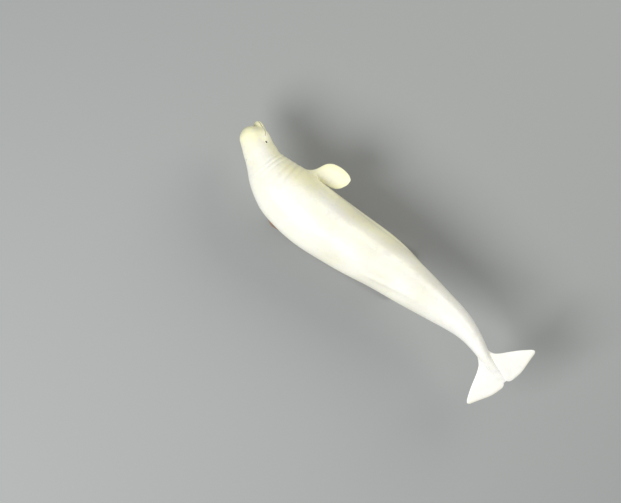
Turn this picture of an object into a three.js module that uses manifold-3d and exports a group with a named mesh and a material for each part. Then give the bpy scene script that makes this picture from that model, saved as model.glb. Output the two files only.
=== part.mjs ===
// A life-size adult beluga whale on a display stand, swimming half rolled on to its left side
// with its head turned to the right, its right flipper spread and its flukes level.
// Millimetres, +Z up. The head points to -Y, the flukes to +Y, and the stand rests on z = 0.
//
// The whale is drawn straight first: x runs back from the tip of the beak along the spine,
// y to the whale's right and z to its back. bendPoint() then lays it along the curved spine.

import * as THREE from "three";
import { mergeVertices } from "three/addons/utils/BufferGeometryUtils.js";
import Module from "manifold-3d";

const wasm = await Module();
wasm.setup();

const jointGap = 0.3; // free space between the faces of two neighbouring pieces
const sameSpot = 1e-3; // corners closer than this are one
const straightEnough = 0.02; // corners this close to their neighbours' plane are left out

// Pose: how far the spine turns sideways, rolls and dips, in degrees and millimetres

const headTurn = { by: 35, from: 0, to: 1460 };
const trunkTurn = { by: 4, from: 1150, to: 2000 };
const loinTurn = { by: 6, from: 1950, to: 2500 };
const stockTurn = { by: 22, from: 2990, to: 3600 };
const flukeTurn = { by: 9, from: 3560, to: 3760 }; // back the other way
const courseOfTrunk = 14.5; // between the middle of the trunk and the +Y axis
const flukeRoll = 8; // right side up
const trunkRoll = { by: 38, from: 1900, to: 3350 };
const headRoll = { by: 16, from: 250, to: 1150 };
const noseDip = { by: 7, from: 100, to: 1300 };
const tailRise = { by: 9, from: 2300, to: 3300 };
const tailLevelOff = { by: 14, from: 3440, to: 3840 };
const spineHeight = 760; // of the middle of the spine over the floor

// Trunk: distance from the beak tip, height of the back over the spine, depth of the belly
// under it, half the width, and how full the section is (2 is an ellipse)

const trunkStations = [
  [190, 124, 160, 118, 2.1],
  [310, 146, 190, 154, 2.1],
  [400, 157, 203, 180, 2.1],
  [480, 178, 206, 204, 2.1],
  [600, 226, 256, 248, 2.1],
  [730, 264, 300, 290, 2.1],
  [860, 292, 340, 320, 2.15],
  [1050, 302, 352, 336, 2.2],
  [1300, 312, 356, 342, 2.2],
  [1640, 306, 338, 324, 2.2],
  [2030, 286, 304, 297, 2.15],
  [2310, 264, 276, 272, 2.1],
  [2570, 234, 242, 240, 2.05],
  [2830, 198, 202, 200, 2],
  [3080, 162, 164, 158, 1.95],
  [3210, 144, 145, 135, 1.9],
  [3340, 126, 125, 110, 1.9],
  [3470, 107, 105, 88, 1.9],
  [3600, 86, 84, 68, 1.9],
  [3720, 58, 57, 52, 2],
  [3840, 34, 33, 40, 2],
  [3935, 17, 17, 26, 2],
];
const trunkStart = 190;
const skullReach = 108; // of the skull ahead of trunkStart, under the melon
const trunkEnd = 3935;

// Head: rounded masses, each a centre and three half sizes, that flow into one another

const melon = { x: 200, y: 0, z: 9, along: 127, across: 121, high: 101, melt: 44 };
const brow = { x: 155, y: 0, z: 4, along: 80, across: 92, high: 74, melt: 30 };
const upperBeak = { x: 154, y: 0, z: -104, along: 122, across: 77, high: 34, melt: 24, blunt: 2.7 };
const lowerBeak = { x: 162, y: 0, z: -138, along: 122, across: 76, high: 34, melt: 18, blunt: 2.7 };
const cheek = { x: 248, y: 88, z: -96, along: 92, across: 54, high: 64, melt: 40 };
const headEnd = 520; // behind this the skin is the trunk's alone
const neckLevel = 700; // where the middle of the rings has come up from the head's to the trunk's

// Lines along the body

const backRidge = { from: 1850, to: 2900, height: 17, halfWidth: 31 };
const sideFold = {
  from: 1200,
  to: 3000,
  angle: -52,
  height: 19,
  halfWidth: 46,
  furrow: 13, // depth of the furrow above the fold
  furrowAt: 1.7, // how many half widths above the fold it lies
};
const fadeShare = 0.45; // of the length of a ridge or fold, over which each end dies away
// The neck is bent to the right, so its creases are deep on the right and fade to the left,
// the back and the belly. Each has its place and depth.
const neckCreases = {
  each: [[514, 4], [558, 6.5], [607, 5]],
  halfWidth: 12,
  lean: 0.12,
  fadeOver: 130,
  reach: 190,
};

// Where the whale is divided, by distance from the beak tip

const cuts = { neck: 470, chest: 800, abdomen: 1500, loin: 2240, stock: 2980 };

// Face

const mouth = {
  corner: 242,
  turn: 112, // where its sides start to round the front of the beak
  front: 76, // from there to the front
  // distance from the beak tip and height of the line where the lips meet
  line: [[-20, -121], [36, -121], [80, -122], [125, -124], [168, -119], [207, -106], [242, -86]],
  slit: 3.4,
  slitDeep: 13,
  lipThick: 9,
  lipWide: 10,
  lipSunk: 5,
  lipEnd: 0.45, // share of the lip's size at its two ends
};
const eye = {
  x: 314,
  z: -62,
  radius: 17,
  sunk: 12, // centre of the ball under the skin
  opening: 15,
  openingHigh: 9,
  lid: 5.5,
  lidOut: 3.3, // middle of the lid's roll outside the opening
  lidSunk: 1.4,
  socketDeep: 40,
};
const blowhole = {
  x: 392,
  halfWidth: 34,
  bow: 17,
  slit: 3,
  deep: 15,
  rim: 11,
  high: 4,
  toTheLeft: 8,
  hornEnd: 0.15, // how blunt the two ends are
};

// Flippers, drawn flat: distance out from the root, front edge ahead of the axis, rear edge
// behind it, and thickness

const flipperStations = [
  [-85, 36, 60, 54],
  [0, 42, 60, 46],
  [60, 64, 53, 38],
  [108, 103, 58, 33],
  [152, 131, 74, 29],
  [202, 144, 96, 25],
  [248, 140, 113, 22],
  [293, 126, 118, 19],
  [340, 103, 105, 16],
  [382, 75, 78, 13],
  [415, 43, 47, 10],
  [435, 15, 16, 8],
];
const flipperLong = 435;
const flipperRoot = { x: 925, angle: -46, inset: 12 };
const flipperDroop = 50; // below the whale's own level
const flipperSweep = 37; // between the flipper's axis and the spine behind it
const flipperCurl = { by: 16, from: 170 }; // rise of the tip
const flipperLens = 0.62; // share of the section that is an ellipse; the rest is sharper

// Flukes: distance out from the middle, leading edge and trailing edge by distance from the
// beak tip, and thickness

const flukeStations = [
  [0, 3560, 3994, 66],
  [30, 3568, 4010, 64],
  [62, 3604, 4024, 58],
  [100, 3672, 4024, 50],
  [150, 3714, 4022, 41],
  [210, 3749, 4014, 33],
  [280, 3788, 3992, 25],
  [345, 3827, 3970, 19],
  [402, 3867, 3952, 14],
  [438, 3893, 3942, 10],
  [454, 3908, 3930, 8],
];
const flukeHalfSpan = 454;
const flukeRise = 14; // of the tips over the middle
const flukeBlade = { front: 1.12, rear: 0.5, edge: 0.12 }; // fullness of the section

// Stand

const base = { long: 1640, wide: 560, thick: 45, corner: 90, bevel: 6, at: 1680 };
const rod = { radius: 30, at: [1440, 2320], sides: 28, topUnderSpine: 120 };
const rodCollar = { radius: 58, topRadius: 38, high: 26 };

const degrees = Math.PI / 180;

// Small helpers

function ease(value, from, to) {
  return THREE.MathUtils.smoothstep(value, from, to);
}

// A smooth curve through rows of [place, value, value, ...]; returns all values at a place.
function through(rows) {
  const slopes = rows.map((row, i) => {
    const before = rows[Math.max(i - 1, 0)];
    const after = rows[Math.min(i + 1, rows.length - 1)];
    return row.map((_, k) => (after[k] - before[k]) / (after[0] - before[0]));
  });
  return (place) => {
    const inside = THREE.MathUtils.clamp(place, rows[0][0], rows.at(-1)[0]);
    const i = Math.max(rows.findIndex((row) => row[0] >= inside), 1);
    const [a, b] = [rows[i - 1], rows[i]];
    const span = b[0] - a[0];
    const t = (inside - a[0]) / span;
    return a.slice(1).map((value, k) => {
      const rise = b[k + 1] - value;
      const start = slopes[i - 1][k + 1] * span - rise;
      const end = rise - slopes[i][k + 1] * span;
      return value + t * rise + t * (1 - t) * (start * (1 - t) + end * t);
    });
  };
}

const trunkAt = through(trunkStations);
const flipperAt = through(flipperStations);
const flukeAt = through(flukeStations);
const mouthAt = through(mouth.line);

// Spine: the whale's own axes at each distance from the beak tip, in steps along it

const spineStep = 10;
const spineFrom = -200;
const spineTo = 4300;
const spine = [];

function axesAt(x) {
  const turn =
    courseOfTrunk -
    headTurn.by * (1 - ease(x, headTurn.from, headTurn.to)) -
    trunkTurn.by * (1 - ease(x, trunkTurn.from, trunkTurn.to)) -
    loinTurn.by * ease(x, loinTurn.from, loinTurn.to) -
    stockTurn.by * ease(x, stockTurn.from, stockTurn.to) +
    flukeTurn.by * ease(x, flukeTurn.from, flukeTurn.to);
  const climb =
    noseDip.by * (1 - ease(x, noseDip.from, noseDip.to)) +
    tailRise.by * ease(x, tailRise.from, tailRise.to) -
    tailLevelOff.by * ease(x, tailLevelOff.from, tailLevelOff.to);
  const roll =
    flukeRoll +
    trunkRoll.by * (1 - ease(x, trunkRoll.from, trunkRoll.to)) +
    headRoll.by * (1 - ease(x, headRoll.from, headRoll.to));
  const level = Math.cos(climb * degrees);
  const tailward = new THREE.Vector3(
    -Math.sin(turn * degrees) * level,
    Math.cos(turn * degrees) * level,
    Math.sin(climb * degrees),
  );
  const right = new THREE.Vector3().crossVectors(new THREE.Vector3(0, 0, 1), tailward).normalize();
  right.applyAxisAngle(tailward, roll * degrees);
  const back = new THREE.Vector3().crossVectors(tailward, right);
  return { tailward, right, back };
}

for (let x = spineFrom, at = new THREE.Vector3(); x <= spineTo; x += spineStep) {
  spine.push({ at: at.clone(), ...axesAt(x) });
  at.addScaledVector(axesAt(x + spineStep / 2).tailward, spineStep);
}

const middleOfSpine = spine[(2000 - spineFrom) / spineStep].at.clone();
middleOfSpine.z -= spineHeight;

// From the straight whale to its pose
function bendPoint(p) {
  const steps = (p.x - spineFrom) / spineStep;
  const i = THREE.MathUtils.clamp(Math.floor(steps), 0, spine.length - 2);
  const t = steps - i;
  const between = (key) => spine[i][key].clone().lerp(spine[i + 1][key], t);
  return between("at")
    .addScaledVector(between("right").normalize(), p.y)
    .addScaledVector(between("back").normalize(), p.z)
    .sub(middleOfSpine);
}

// Skin of the straight whale, as a field that is below zero inside

function mass(p, m, side = 0) {
  const blunt = m.blunt ?? 2; // 2 is an ellipse seen from above, more is squarer
  const along = Math.abs(p.x - m.x) / m.along;
  const across = Math.abs(p.y - side * m.y) / m.across;
  const plan = (along ** blunt + across ** blunt) ** (1 / blunt);
  return (Math.hypot(plan, (p.z - m.z) / m.high) - 1) * Math.min(m.along, m.across, m.high);
}

function melt(a, b, reach) {
  const h = Math.max(reach - Math.abs(a - b), 0) / reach;
  return Math.min(a, b) - (h * h * reach) / 4;
}

function trunkField(p) {
  const [back, belly, flank, fullness] = trunkAt(p.x);
  const middle = (back - belly) / 2;
  const high = (back + belly) / 2;
  const across = (Math.abs(p.y) / flank) ** fullness + (Math.abs(p.z - middle) / high) ** fullness;
  const ahead = Math.max(trunkStart - p.x, 0) / skullReach;
  const r = Math.hypot(across ** (1 / fullness), ahead);
  return (r - 1) * Math.min(flank, high) - bodyLines(p, middle);
}

function fading(x, from, to) {
  const fade = (to - from) * fadeShare;
  return ease(x, from, from + fade) * (1 - ease(x, to - fade, to));
}

// The ridge along the back, the fat folds along the sides of the belly and the neck creases
function bodyLines(p, middle) {
  let raised = 0;
  if (p.z > middle) {
    const ridge = fading(p.x, backRidge.from, backRidge.to) * backRidge.height;
    raised += ridge * Math.exp(-((p.y / backRidge.halfWidth) ** 2));
  }
  const foldFade = fading(p.x, sideFold.from, sideFold.to);
  if (foldFade > 0) {
    const radius = Math.hypot(p.y, p.z - middle);
    const turn = Math.atan2(p.z - middle, Math.abs(p.y)) - sideFold.angle * degrees;
    const off = (turn * radius) / sideFold.halfWidth;
    raised += foldFade * sideFold.height * Math.exp(-(off ** 2));
    raised -= foldFade * sideFold.furrow * Math.exp(-((off - sideFold.furrowAt) ** 2));
  }
  const onTheRight = (1 + Math.tanh(p.y / neckCreases.fadeOver)) / 2;
  const halfWayUp = Math.exp(-(((p.z - middle) / neckCreases.reach) ** 2));
  for (const [at, depth] of neckCreases.each) {
    const off = (p.x - at - neckCreases.lean * (p.z - middle)) / neckCreases.halfWidth;
    raised -= depth * onTheRight * halfWayUp * Math.exp(-(off ** 2));
  }
  return raised;
}

function skinField(p) {
  let field = trunkField(p);
  if (p.x > headEnd) return field;
  field = melt(field, mass(p, melon), melon.melt);
  field = melt(field, mass(p, brow), brow.melt);
  field = melt(field, mass(p, cheek, 1), cheek.melt);
  field = melt(field, mass(p, cheek, -1), cheek.melt);
  const beak = melt(mass(p, upperBeak), mass(p, lowerBeak), lowerBeak.melt);
  return melt(field, beak, upperBeak.melt);
}

// The point where a line from inside the straight whale comes out through its skin
function skinPoint(from, direction) {
  let inside = 0;
  let outside = 700;
  const p = new THREE.Vector3();
  while (outside - inside > 1e-5) {
    const half = (inside + outside) / 2;
    p.copy(from).addScaledVector(direction, half);
    if (skinField(p) < 0) inside = half;
    else outside = half;
  }
  return p.copy(from).addScaledVector(direction, outside);
}

// Rings of skin points, from the beak tip to the flukes

const ringSides = 36;
const ridgeSide = 5; // degrees, of the extra corners on each side of the back ridge
const ringAngles = Array.from({ length: ringSides }, (_, i) => 90 - (360 * i) / ringSides);
ringAngles.splice(1, 0, 90 - ridgeSide);
ringAngles.push(90 + ridgeSide - 360);

const headCentre = new THREE.Vector3(215, 0, -62);
const beakDirection = new THREE.Vector3(-1, 0, -0.3).normalize();

function aroundRing(angle) {
  return new THREE.Vector3(0, Math.cos(angle * degrees), Math.sin(angle * degrees));
}

// Opens like an umbrella from the beak tip, at 0, to a flat ring round the head, at 90
function faceRing(opening) {
  return ringAngles.map((angle) => {
    const direction = beakDirection.clone().multiplyScalar(Math.cos(opening * degrees));
    direction.addScaledVector(aroundRing(angle), Math.sin(opening * degrees)).normalize();
    return skinPoint(headCentre, direction);
  });
}

function bodyRing(x, grow = 0) {
  const [back, belly] = trunkAt(x);
  const towardsMiddle = ease(x, headCentre.x, neckLevel);
  const z = THREE.MathUtils.lerp(headCentre.z, (back - belly) / 2, towardsMiddle);
  const centre = new THREE.Vector3(x, 0, z);
  return ringAngles.map((angle) => {
    const direction = aroundRing(angle);
    return skinPoint(centre, direction).addScaledVector(direction, grow);
  });
}

// Solids

function geometryOf(points, faces) {
  const geometry = new THREE.BufferGeometry();
  const xyz = points.flatMap((p) => [p.x, p.y, p.z]);
  geometry.setAttribute("position", new THREE.Float32BufferAttribute(xyz, 3));
  geometry.setIndex(faces);
  return geometry;
}

// A closed skin over rings that have the same number of points. Each end is drawn to its
// middle, or to the point given; a loop joins its last ring to its first.
function loft(rings, { start, end, loop = false } = {}) {
  const count = rings[0].length;
  const points = rings.flat();
  const faces = [];
  for (let row = 0; row + (loop ? 0 : 1) < rings.length; row++) {
    const after = ((row + 1) % rings.length) * count;
    for (let i = 0; i < count; i++) {
      const next = (i + 1) % count;
      const [a, b] = [row * count + i, row * count + next];
      faces.push(a, b, after + next, a, after + next, after + i);
    }
  }
  if (!loop) {
    const last = points.length - count;
    const middle = (ring) =>
      ring.reduce((sum, p) => sum.add(p), new THREE.Vector3()).divideScalar(ring.length);
    const tip = points.push(start ?? middle(rings[0])) - 1;
    const tail = points.push(end ?? middle(rings.at(-1))) - 1;
    for (let i = 0; i < count; i++) {
      const next = (i + 1) % count;
      faces.push(tip, next, i, tail, last + i, last + next);
    }
  }
  return geometryOf(points, faces);
}

// A closed manifold-3d solid from a geometry in place; inside-out ones are turned
function solidOf(geometry) {
  const bare = geometry.clone();
  for (const name of Object.keys(bare.attributes)) {
    if (name !== "position") bare.deleteAttribute(name);
  }
  const merged = mergeVertices(bare, sameSpot);
  const triVerts = new Uint32Array(merged.index.array);
  const make = () =>
    new wasm.Manifold(
      new wasm.Mesh({ numProp: 3, vertProperties: merged.attributes.position.array, triVerts }),
    );
  const made = make();
  if (made.volume() > 0) return made;
  for (let i = 0; i < triVerts.length; i += 3) {
    [triVerts[i + 1], triVerts[i + 2]] = [triVerts[i + 2], triVerts[i + 1]];
  }
  return make();
}

function largestPiece(solid) {
  const pieces = solid.simplify(straightEnough).decompose();
  return pieces.reduce((best, piece) => (piece.volume() > best.volume() ? piece : best));
}

function geometryOfSolid(solid) {
  const { numProp, vertProperties, triVerts } = solid.getMesh();
  const geometry = new THREE.BufferGeometry();
  const xyz = new Float32Array((vertProperties.length / numProp) * 3);
  for (let i = 0; i * 3 < xyz.length; i++) {
    xyz.set(vertProperties.subarray(i * numProp, i * numProp + 3), i * 3);
  }
  geometry.setAttribute("position", new THREE.BufferAttribute(xyz, 3));
  geometry.setIndex(new THREE.BufferAttribute(triVerts, 1));
  geometry.computeVertexNormals();
  return geometry;
}

// Lays a geometry that is drawn on the straight whale along the bent spine
function bend(geometry) {
  const position = geometry.attributes.position;
  const p = new THREE.Vector3();
  for (let i = 0; i < position.count; i++) {
    p.fromBufferAttribute(position, i);
    position.setXYZ(i, ...bendPoint(p).toArray());
  }
  return geometry;
}

function spread(from, to, count) {
  return Array.from({ length: count + 1 }, (_, i) => THREE.MathUtils.lerp(from, to, i / count));
}

// A length of the trunk between two cuts; grow makes it that much larger all round
function trunkLength(from, to, stations, grow = 0) {
  const reach = grow > 0 ? grow : -jointGap / 2;
  return solidOf(bend(loft(spread(from - reach, to + reach, stations).map((x) => bodyRing(x, grow)))));
}

// Head

const faceOpenings = [5, 11, 18, 25, 32, 39, 46, 53, 60, 67, 74, 81, 90];
const headPlaces = [215, 242, 270, 298, 326, 354, 382, 410, 440];

function wholeHead() {
  const rings = [
    ...faceOpenings.map(faceRing),
    ...headPlaces.map((x) => bodyRing(x)),
    bodyRing(cuts.neck - jointGap / 2),
  ];
  return solidOf(bend(loft(rings, { start: skinPoint(headCentre, beakDirection) })));
}

// A roll of flesh, or the groove between two, along places on the skin. Each place has its
// point, the way out of the skin, and the roll's half sizes out of the skin and along it.
function rollAlong(places, sides, loop = false) {
  const rings = places.map(({ at, out, thick, wide }, i) => {
    const before = places.at(loop ? i - 1 : Math.max(i - 1, 0)).at;
    const after = places[loop ? (i + 1) % places.length : Math.min(i + 1, places.length - 1)].at;
    const across = new THREE.Vector3().subVectors(after, before).cross(out).normalize();
    return spread(0, 2 * Math.PI, sides)
      .slice(0, sides)
      .map((turn) =>
        at
          .clone()
          .addScaledVector(out, thick * Math.cos(turn))
          .addScaledVector(across, wide * Math.sin(turn)),
      );
  });
  return solidOf(bend(loft(rings, { loop })));
}

// Rays from inside the head to the mouth line, from the right corner round the beak to the left
function mouthRays() {
  const behind = spread(mouth.corner, mouth.turn, 9);
  const round = spread(0, Math.PI, 12).slice(1, -1);
  const ray = (x, ahead, flank) => ({
    from: new THREE.Vector3(x, 0, mouthAt(x - mouth.front * ahead)[0]),
    out: new THREE.Vector3(-ahead, flank, 0),
  });
  return [
    ...behind.map((x) => ray(x, 0, 1)),
    ...round.map((angle) => ray(mouth.turn, Math.sin(angle), Math.cos(angle))),
    ...behind.reverse().map((x) => ray(x, 0, -1)),
  ];
}

// The upper lip is above the mouth line, at 1, and the lower one below it, at -1
function lip(side) {
  const rays = mouthRays();
  const places = rays.map(({ from, out }, i) => {
    const fromEnd = Math.min(i, rays.length - 1 - i);
    const taper = Math.min(mouth.lipEnd + 0.2 * fromEnd, 1);
    const apart = side * (mouth.lipWide * taper + mouth.slit / 2 - 1);
    const at = skinPoint(from.clone().setZ(from.z + apart), out);
    at.addScaledVector(out, -mouth.lipSunk);
    return { at, out, thick: mouth.lipThick * taper, wide: mouth.lipWide * taper };
  });
  return rollAlong(places, 8);
}

function mouthSlit() {
  const places = mouthRays().map(({ from, out }) => {
    return { at: skinPoint(from, out), out, thick: mouth.slitDeep, wide: mouth.slit / 2 };
  });
  return rollAlong(places, 6);
}

// Eyes: a ball in its socket behind an almond opening between two lids

function eyeCentre(flank) {
  const skin = skinPoint(new THREE.Vector3(eye.x, 0, eye.z), new THREE.Vector3(0, flank, 0));
  return skin.add(new THREE.Vector3(0, -flank * eye.sunk, 0));
}

function eyeBall(flank, grow = 0) {
  const at = bendPoint(eyeCentre(flank));
  const ball = new THREE.SphereGeometry(eye.radius + grow, 16, 10);
  return solidOf(ball.translate(at.x, at.y, at.z));
}

function lids(flank) {
  const { x, z } = eyeCentre(flank);
  const out = new THREE.Vector3(0, flank, 0);
  const places = spread(0, 2 * Math.PI, 20)
    .slice(0, 20)
    .map((turn) => {
      const along = (eye.opening + eye.lidOut) * Math.cos(turn);
      const up = (eye.openingHigh + eye.lidOut) * Math.sin(turn);
      const at = skinPoint(new THREE.Vector3(x + along, 0, z + up), out);
      return { at: at.addScaledVector(out, -eye.lidSunk), out, thick: eye.lid, wide: eye.lid };
    });
  return rollAlong(places, 7, true);
}

// The opening between the lids, cut in as far as the ball
function eyeOpening(flank) {
  const at = eyeCentre(flank);
  const almond = new THREE.Shape();
  const reach = eye.opening - 1;
  const bow = eye.openingHigh * 1.9; // a curve of this kind reaches half as high
  almond.moveTo(-reach, 0);
  almond.quadraticCurveTo(0, bow, reach, 0);
  almond.quadraticCurveTo(0, -bow, -reach, 0);
  const depth = eye.socketDeep;
  const cut = new THREE.ExtrudeGeometry(almond, { depth, curveSegments: 8, bevelEnabled: false });
  cut.rotateX((-flank * Math.PI) / 2).translate(at.x, at.y, at.z);
  return solidOf(bend(cut));
}

// Blowhole: a crescent slit in a low rim, its horns forward, a little left of the middle
function crescent(thick, wide) {
  const out = new THREE.Vector3(0, 0, 1);
  const places = spread(-1, 1, 14).map((t) => {
    const y = t * blowhole.halfWidth - blowhole.toTheLeft;
    const x = blowhole.x - t * t * blowhole.bow;
    const taper = Math.sqrt(1 + blowhole.hornEnd - t * t);
    return { at: skinPoint(new THREE.Vector3(x, y, 0), out), out, thick, wide: wide * taper };
  });
  return rollAlong(places, 8);
}

// Flippers: a paddle of lens-shaped sections, drawn flat and then hung from the chest

function flipperRing(out, flank) {
  const [ahead, behind, thick] = flipperAt(out);
  const root = flipperFrame(flank);
  const corners = 16;
  const curl = flipperCurl.by * ease(out, flipperCurl.from, flipperLong);
  return spread(0, 2 * Math.PI, corners)
    .slice(0, corners)
    .map((turn) => {
      const chord = (ahead + behind) / 2;
      const across = chord * Math.cos(turn) + (ahead - behind) / 2;
      const round = Math.sin(turn);
      const lens = round * THREE.MathUtils.lerp(Math.abs(round), 1, flipperLens);
      return root.at
        .clone()
        .addScaledVector(root.outward, out)
        .addScaledVector(root.forward, across)
        .addScaledVector(root.upward, (thick / 2) * lens + curl);
    });
}

// The flipper's root on the chest, and the ways out along it, ahead and up, in the pose
function flipperFrame(flank) {
  const { x, angle, inset } = flipperRoot;
  const [back, belly] = trunkAt(x);
  const across = aroundRing(angle);
  across.y *= flank;
  const onSkin = skinPoint(new THREE.Vector3(x, 0, (back - belly) / 2), across);
  const at = bendPoint(onSkin.addScaledVector(across, -inset));
  const { tailward, right, back: up } = axesAt(x);
  const aside = right.clone().multiplyScalar(flank * Math.cos(flipperDroop * degrees));
  aside.addScaledVector(up, -Math.sin(flipperDroop * degrees));
  const outward = tailward.clone().multiplyScalar(Math.cos(flipperSweep * degrees));
  outward.addScaledVector(aside, Math.sin(flipperSweep * degrees));
  const forward = tailward.clone().multiplyScalar(-Math.sin(flipperSweep * degrees));
  forward.addScaledVector(aside, Math.cos(flipperSweep * degrees));
  const upward = new THREE.Vector3().crossVectors(outward, forward).multiplyScalar(flank);
  return { at, outward, forward, upward };
}

function flipper(flank) {
  const places = [-85, -40, 0, 30, 60, 85, 108, 130, 152, 177, 202, 228, 256, 284, 312, 340];
  const tip = [364, 386, 405, 421, flipperLong];
  return solidOf(loft([...places, ...tip].map((out) => flipperRing(out, flank))));
}

// Flukes: each half is a wing with a blunt leading edge and a thin trailing one

function flukeRing(out, flank) {
  const [leading, trailing, thick] = flukeAt(out);
  const corners = 20;
  const rise = flukeRise * (out / flukeHalfSpan) ** 2;
  return spread(0, 2 * Math.PI, corners)
    .slice(0, corners)
    .map((turn) => {
      const back = (1 - Math.cos(turn)) / 2;
      const x = leading + (trailing - leading) * back;
      const fullness = THREE.MathUtils.lerp(flukeBlade.front, flukeBlade.rear, back);
      const blade = Math.abs(Math.sin(turn)) * fullness + flukeBlade.edge * back;
      const above = turn < Math.PI ? 1 : -1;
      const z = (thick / 2) * blade * above + rise;
      return new THREE.Vector3(x, flank * Math.max(out, jointGap / 2), z);
    });
}

function fluke(flank) {
  const places = [0, 15, 30, 46, 62, 80, 100, 125, 150, 180, 215, 250, 285, 320, 355, 390];
  const tip = [415, 436, flukeHalfSpan];
  const rings = [...places, ...tip].map((out) => flukeRing(out, flank));
  return solidOf(bend(loft(rings)));
}

// Stand: a flat plinth with round corners, and two rods up to the belly, each in a collar

function placeUnder(x) {
  const at = bendPoint(new THREE.Vector3(x, 0, 0));
  return new THREE.Vector3(at.x, at.y, 0);
}

function plinth() {
  const { long, wide, corner, bevel, thick } = base;
  const outline = new THREE.Shape();
  const [w, l] = [wide / 2, long / 2];
  const quarter = Math.PI / 2;
  outline.absarc(w - corner, l - corner, corner, 0, quarter);
  outline.absarc(corner - w, l - corner, corner, quarter, 2 * quarter);
  outline.absarc(corner - w, corner - l, corner, 2 * quarter, 3 * quarter);
  outline.absarc(w - corner, corner - l, corner, 3 * quarter, 4 * quarter);
  const slab = new THREE.ExtrudeGeometry(outline, {
    depth: thick - bevel,
    curveSegments: 8,
    bevelThickness: bevel,
    bevelSize: bevel,
    bevelOffset: -bevel,
    bevelSegments: 1,
  });
  slab.rotateZ(courseOfTrunk * degrees);
  const at = placeUnder(base.at);
  slab.translate(at.x, at.y, bevel);
  return solidOf(slab).trimByPlane([0, 0, 1], 0).trimByPlane([0, 0, -1], -thick);
}

function uprightRod(x, belly) {
  const at = placeUnder(x);
  const from = base.thick + jointGap;
  const to = spineHeight - rod.topUnderSpine;
  const bar = new THREE.CylinderGeometry(rod.radius, rod.radius, to - from, rod.sides);
  bar.rotateX(Math.PI / 2).translate(at.x, at.y, (from + to) / 2);
  const { radius, topRadius, high } = rodCollar;
  const foot = new THREE.CylinderGeometry(topRadius, radius, high, rod.sides);
  foot.rotateX(Math.PI / 2).translate(at.x, at.y, from + high / 2);
  return largestPiece(solidOf(bar).add(solidOf(foot)).subtract(belly));
}

// Colours

const skinWhite = new THREE.MeshStandardMaterial({ color: 0xf4f1e4, roughness: 0.38 });
const skinCream = new THREE.MeshStandardMaterial({ color: 0xf1edd6, roughness: 0.38 });
const eyeDark = new THREE.MeshStandardMaterial({ color: 0x16110d, roughness: 0.08 });
const stainedOak = new THREE.MeshStandardMaterial({ color: 0x6f4e33, roughness: 0.4 });
const rodSteel = new THREE.MeshStandardMaterial({ color: 0x9a9da0, roughness: 0.35, metalness: 1 });

// The whale, named part by part

const whale = new THREE.Group();

function addNode(name, solid, material) {
  const node = new THREE.Mesh(geometryOfSolid(solid), material);
  node.name = name;
  whale.add(node);
}

let head = wholeHead().add(lip(1)).add(lip(-1)).add(crescent(blowhole.high, blowhole.rim));
head = head.subtract(mouthSlit()).subtract(crescent(blowhole.deep, blowhole.slit));
for (const flank of [1, -1]) {
  head = head.add(lids(flank)).subtract(eyeOpening(flank)).subtract(eyeBall(flank, jointGap));
}
addNode("head", largestPiece(head), skinCream);
addNode("right_eye", eyeBall(1), eyeDark);
addNode("left_eye", eyeBall(-1), eyeDark);

const trunkLengths = [
  ["neck", cuts.neck, cuts.chest, 16],
  ["chest", cuts.chest, cuts.abdomen, 9],
  ["abdomen", cuts.abdomen, cuts.loin, 10],
  ["loin", cuts.loin, cuts.stock, 11],
  ["tail_stock", cuts.stock, trunkEnd, 14],
];
for (const [name, from, to, stations] of trunkLengths) {
  addNode(name, trunkLength(from, to, stations), skinWhite);
}

const [, chest, , loin, stock] = trunkLengths.map(([, from, to, stations]) =>
  trunkLength(from, to, stations, jointGap),
);
for (const [side, flank] of [["right", 1], ["left", -1]]) {
  addNode(side + "_flipper", largestPiece(flipper(flank).subtract(chest)), skinCream);
  addNode(side + "_fluke", largestPiece(fluke(flank).subtract(stock)), skinWhite);
}

addNode("stand_base", plinth(), stainedOak);
addNode("stand_rod_front", uprightRod(rod.at[0], chest), rodSteel);
addNode("stand_rod_rear", uprightRod(rod.at[1], loin), rodSteel);

// The origin is at the middle of the footprint's box, on the floor
const footprint = new THREE.Box3().setFromObject(whale);
const middleOfBox = footprint.getCenter(new THREE.Vector3());
whale.position.set(-middleOfBox.x, -middleOfBox.y, -footprint.min.z);

export default whale;
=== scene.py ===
import math

import bmesh
import bpy
import numpy as np
from mathutils import Matrix, Vector


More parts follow.
